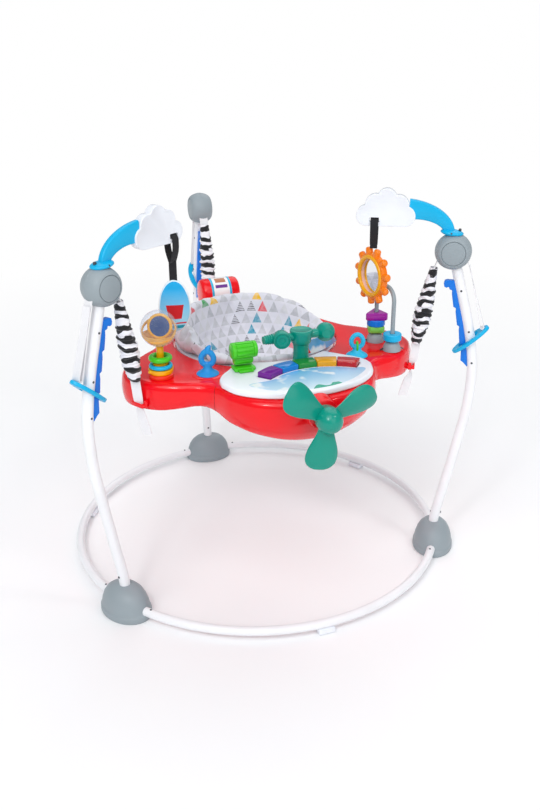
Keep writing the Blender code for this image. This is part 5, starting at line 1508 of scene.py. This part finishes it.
class JUMPER_OT_hanging_toys(bpy.types.Operator):
    """Makes the plush oval and the sun with its mirror, each on its strap"""

    bl_idname = "jumper.hanging_toys"
    bl_label = "Hanging toys"

    def execute(self, context):
        width = context.scene.jumper_frame.toy_webbing
        place = Matrix.Translation(JOINTS["plush_swing"]["pos_m"]) @ turned(SIDES["left"], "Z")
        drop = 0.078 + 0.053
        body = ball((1, 1, 1), 64)
        bmesh.ops.rotate(body, verts=body.verts[:], matrix=Matrix.Rotation(math.pi / 2, 3, "X"))
        face = body.loops.layers.uv.new("face")
        for part in body.faces:
            for loop in part.loops:
                loop[face].uv = (loop.vert.co.x, loop.vert.co.z)
        for vert in body.verts:
            x, y, z = vert.co
            crown = max(0.0, 1 - x * x - z * z) ** 0.42
            vert.co = (0.0305 * x * (1 - 0.06 * z), math.copysign(0.0088 * crown + 0.0008, y), 0.053 * z)
        bmesh.ops.remove_doubles(body, verts=body.verts[:], dist=1e-5)
        wrinkle(body, 0.0012, 0.016, 3.0)
        rim = [Vector((0.0305 * math.cos(a) * (1 - 0.06 * math.sin(a)), 0, 0.053 * math.sin(a)))
               for a in [2 * math.pi * k / 72 for k in range(72)]]
        piping = swept(rim, ring(0.0011, 10), closed=True)
        spin = turned(-42.0, "Z")
        body = moved(body, place, shift(0, 0, -drop), spin)
        piping = moved(piping, place, shift(0, 0, -drop), spin)
        toy = finish("plush_oval", [(body, "plush")], "plush_toy", ["plush_toy"], 80)
        trim = moved(hanging_strap(width, 0.082, -42.0), place)
        finish("plush_strap", [(trim, "black webbing"), (piping, "webbing")],
               "plush_toy")

        place = Matrix.Translation(JOINTS["sun_swing"]["pos_m"]) @ turned(SIDES["right"], "Z")
        middle = shift(0, 0, -0.110) @ turned(-53.0, "Z")
        petals = []
        for k in range(11):
            petal = smooth_path([(0.042, 0, 0), (0.047, 0, 0), (0.053, 0, 0), (0.058, 0, 0), (0.0605, 0, 0)], 3)
            shape = swept(petal, lambda t: [(a, b * 0.9) for a, b in ring(
                0.0092 * (1.0 - 0.22 * t) * (1 - max(0.0, t - 0.70) ** 2 * 5.5), 20)])
            petals.append(moved(shape, turned(360 / 11 * k + 90, "Y")))
        collar = moved(lathe([(0.0400, 0.0078), (0.0450, 0.0080), (0.0480, 0.0060), (0.0490, 0.0),
                              (0.0480, -0.0060), (0.0450, -0.0080), (0.0400, -0.0078)], 72, joined=True),
                       turned(90, "X"))
        hoop = moved(lathe([(0.0398 + a * 1.15, 0.0066 + b) for a, b in ring(0.0042, 16)], 72, joined=True),
                     turned(90, "X"))
        back_hoop = moved(lathe([(0.0398 + a * 1.15, -0.0066 + b) for a, b in ring(0.0036, 12)], 72, joined=True),
                          turned(90, "X"))
        tunnel = moved(lathe([(0.0398, 0.0080), (0.0368, 0.0070), (0.0352, -0.0010), (0.0398, -0.0010)], 64,
                             joined=True), turned(90, "X"))
        glass = moved(lathe([(0, 0.0002), (0.0360, 0.0002), (0.0360, -0.0040), (0, -0.0040)], 64), turned(90, "X"))
        parts = [(merged(*petals, collar), "orange"), (merged(hoop, back_hoop), "yellow"), (tunnel, "salmon"),
                 (glass, "mirror")]
        finish("sun_mirror", [(moved(bm, place, middle), shade) for bm, shade in parts], "sun_toy",
               ["sun_toy"], 40)
        trim = moved(hanging_strap(width, 0.052, 0.0), place)
        finish("sun_strap", [(trim, "black webbing")], "sun_toy")
        return {"FINISHED"}


# ---------------------------------------------------------------- stage

class JUMPER_OT_stage(bpy.types.Operator):
    """Makes the pale floor, the soft studio light and the camera"""

    bl_idname = "jumper.stage"
    bl_label = "Floor, light and camera"

    def execute(self, context):
        scene = context.scene
        bm = bmesh.new()
        bmesh.ops.create_grid(bm, x_segments=1, y_segments=1, size=60.0)
        mesh = bpy.data.meshes.new("floor")
        bm.to_mesh(mesh)
        bm.free()
        floor = bpy.data.objects.new("floor", mesh)
        floor.location.z = -0.0005
        scene.collection.objects.link(floor)
        paint, tree, shader, place = start("matt white floor", linear("#FCFCFD"), 0.9)
        specks = add(tree, "TexNoise", Vector=place, Scale=3.0, Detail=2.0)
        tone = mix(tree, s0=specks.outputs["Fac"], s6=(*linear("#FAFAFC"), 1),
                   s7=(*linear("#FEFEFE"), 1))
        tree.links.new(tone.outputs[2], shader.inputs["Base Color"])
        # Far from the object the floor turns into the same even white as the room, so that no horizon shows.
        reach = add(tree, "VectorMath", {"operation": "LENGTH"}, s0=place)
        far = add(tree, "MapRange", Value=reach.outputs["Value"])
        far.inputs["From Min"].default_value, far.inputs["From Max"].default_value = 0.7, 2.6
        white = add(tree, "Emission", Color=(1.0, 1.0, 1.0, 1), Strength=1.0)
        both = add(tree, "MixShader", s0=far.outputs["Result"], s1=shader.outputs[0], s2=white.outputs[0])
        tree.links.new(both.outputs[0], next(n for n in tree.nodes if n.type == "OUTPUT_MATERIAL").inputs["Surface"])
        mesh.materials.append(paint)

        world = bpy.data.worlds.new("studio")
        world.use_nodes = True
        # The room looks white, but lights the object only softly, so that white parts keep their shade.
        tree = world.node_tree
        soft, seen = tree.nodes["Background"], add(tree, "Background", Color=(1.0, 1.0, 1.0, 1), Strength=1.0)
        soft.inputs["Color"].default_value = (0.93, 0.96, 1.0, 1)
        soft.inputs["Strength"].default_value = 0.38
        ray = add(tree, "LightPath")
        both = add(tree, "MixShader", s0=ray.outputs["Is Camera Ray"], s1=soft.outputs[0], s2=seen.outputs[0])
        tree.links.new(both.outputs[0], tree.nodes["World Output"].inputs["Surface"])
        scene.world = world
        lamps = (("key", (-1.5, -2.0, 3.4), 50.0, 1.20), ("back", (1.2, 1.6, 3.0), 60.0, 0.85),
                 ("front", (0.6, -3.0, 1.6), 40.0, 0.40))
        for name, where, spread, power in lamps:
            lamp = bpy.data.lights.new(name, "SUN")
            lamp.angle, lamp.energy = math.radians(spread), power
            holder = bpy.data.objects.new(name, lamp)
            scene.collection.objects.link(holder)
            holder.location = where
            holder.rotation_euler = (Vector((0, 0, 0.4)) - Vector(where)).to_track_quat("-Z", "Y").to_euler()

        for name, where, power in (("softbox left", (-1.3, -1.7, 2.0), 9.0), ("softbox right", (1.1, -1.5, 2.2), 5.0)):
            lamp = bpy.data.lights.new(name, "AREA")
            lamp.shape, lamp.size, lamp.energy = "SQUARE", 0.30, power
            holder = bpy.data.objects.new(name, lamp)
            scene.collection.objects.link(holder)
            holder.location = where
            holder.rotation_euler = (Vector((0, -0.1, 0.45)) - Vector(where)).to_track_quat("-Z", "Y").to_euler()

        eye = bpy.data.cameras.new("camera")
        eye.lens, eye.sensor_width = 39.07, 36.0
        holder = bpy.data.objects.new("camera", eye)
        scene.collection.objects.link(holder)
        right, up, back = (Vector((0.93952, -0.34246, -0.00481)), Vector((0.14193, 0.37651, 0.91548)),
                           Vector((-0.31170, -0.86079, 0.40234)))
        turn = Matrix((right, up, back)).transposed().to_4x4()
        holder.matrix_world = shift(-0.59606, -1.74296 + MIDDLE_Y, 1.13664) @ turn
        scene.camera = holder
        scene.view_settings.view_transform = "Standard"
        return {"FINISHED"}


OPERATORS = (JUMPER_OT_floor_ring, JUMPER_OT_legs, JUMPER_OT_height_discs, JUMPER_OT_toy_arms, JUMPER_OT_tray,
             JUMPER_OT_straps, JUMPER_OT_console, JUMPER_OT_propeller, JUMPER_OT_yoke, JUMPER_OT_rattle,
             JUMPER_OT_small_toys, JUMPER_OT_seat, JUMPER_OT_hanging_toys, JUMPER_OT_stage)


class JUMPER_PT_pieces(bpy.types.Panel):
    """Lists the piece makers with their sizes and colours"""

    bl_idname = "JUMPER_PT_pieces"
    bl_label = "Activity jumper"
    bl_space_type = "VIEW_3D"
    bl_region_type = "UI"
    bl_category = "Jumper"

    def draw(self, context):
        for operator in OPERATORS:
            self.layout.operator(operator.bl_idname)
        for settings in (context.scene.jumper_frame, context.scene.jumper_tray, context.scene.jumper_colours):
            box = self.layout.box()
            for name in type(settings).__annotations__:
                box.prop(settings, name)


CLASSES = (JumperFrameSizes, JumperTraySizes, JumperColours, *OPERATORS, JUMPER_PT_pieces)


def register():
    for item in CLASSES:
        bpy.utils.register_class(item)
    bpy.types.Scene.jumper_frame = PointerProperty(type=JumperFrameSizes)
    bpy.types.Scene.jumper_tray = PointerProperty(type=JumperTraySizes)
    bpy.types.Scene.jumper_colours = PointerProperty(type=JumperColours)


def unregister():
    del bpy.types.Scene.jumper_frame, bpy.types.Scene.jumper_tray, bpy.types.Scene.jumper_colours
    for item in reversed(CLASSES):
        bpy.utils.unregister_class(item)


def main():
    """Makes every piece in order."""
    register()
    for operator in OPERATORS:
        group, name = operator.bl_idname.split(".")
        getattr(getattr(bpy.ops, group), name)()


if __name__ == "__main__":
    main()
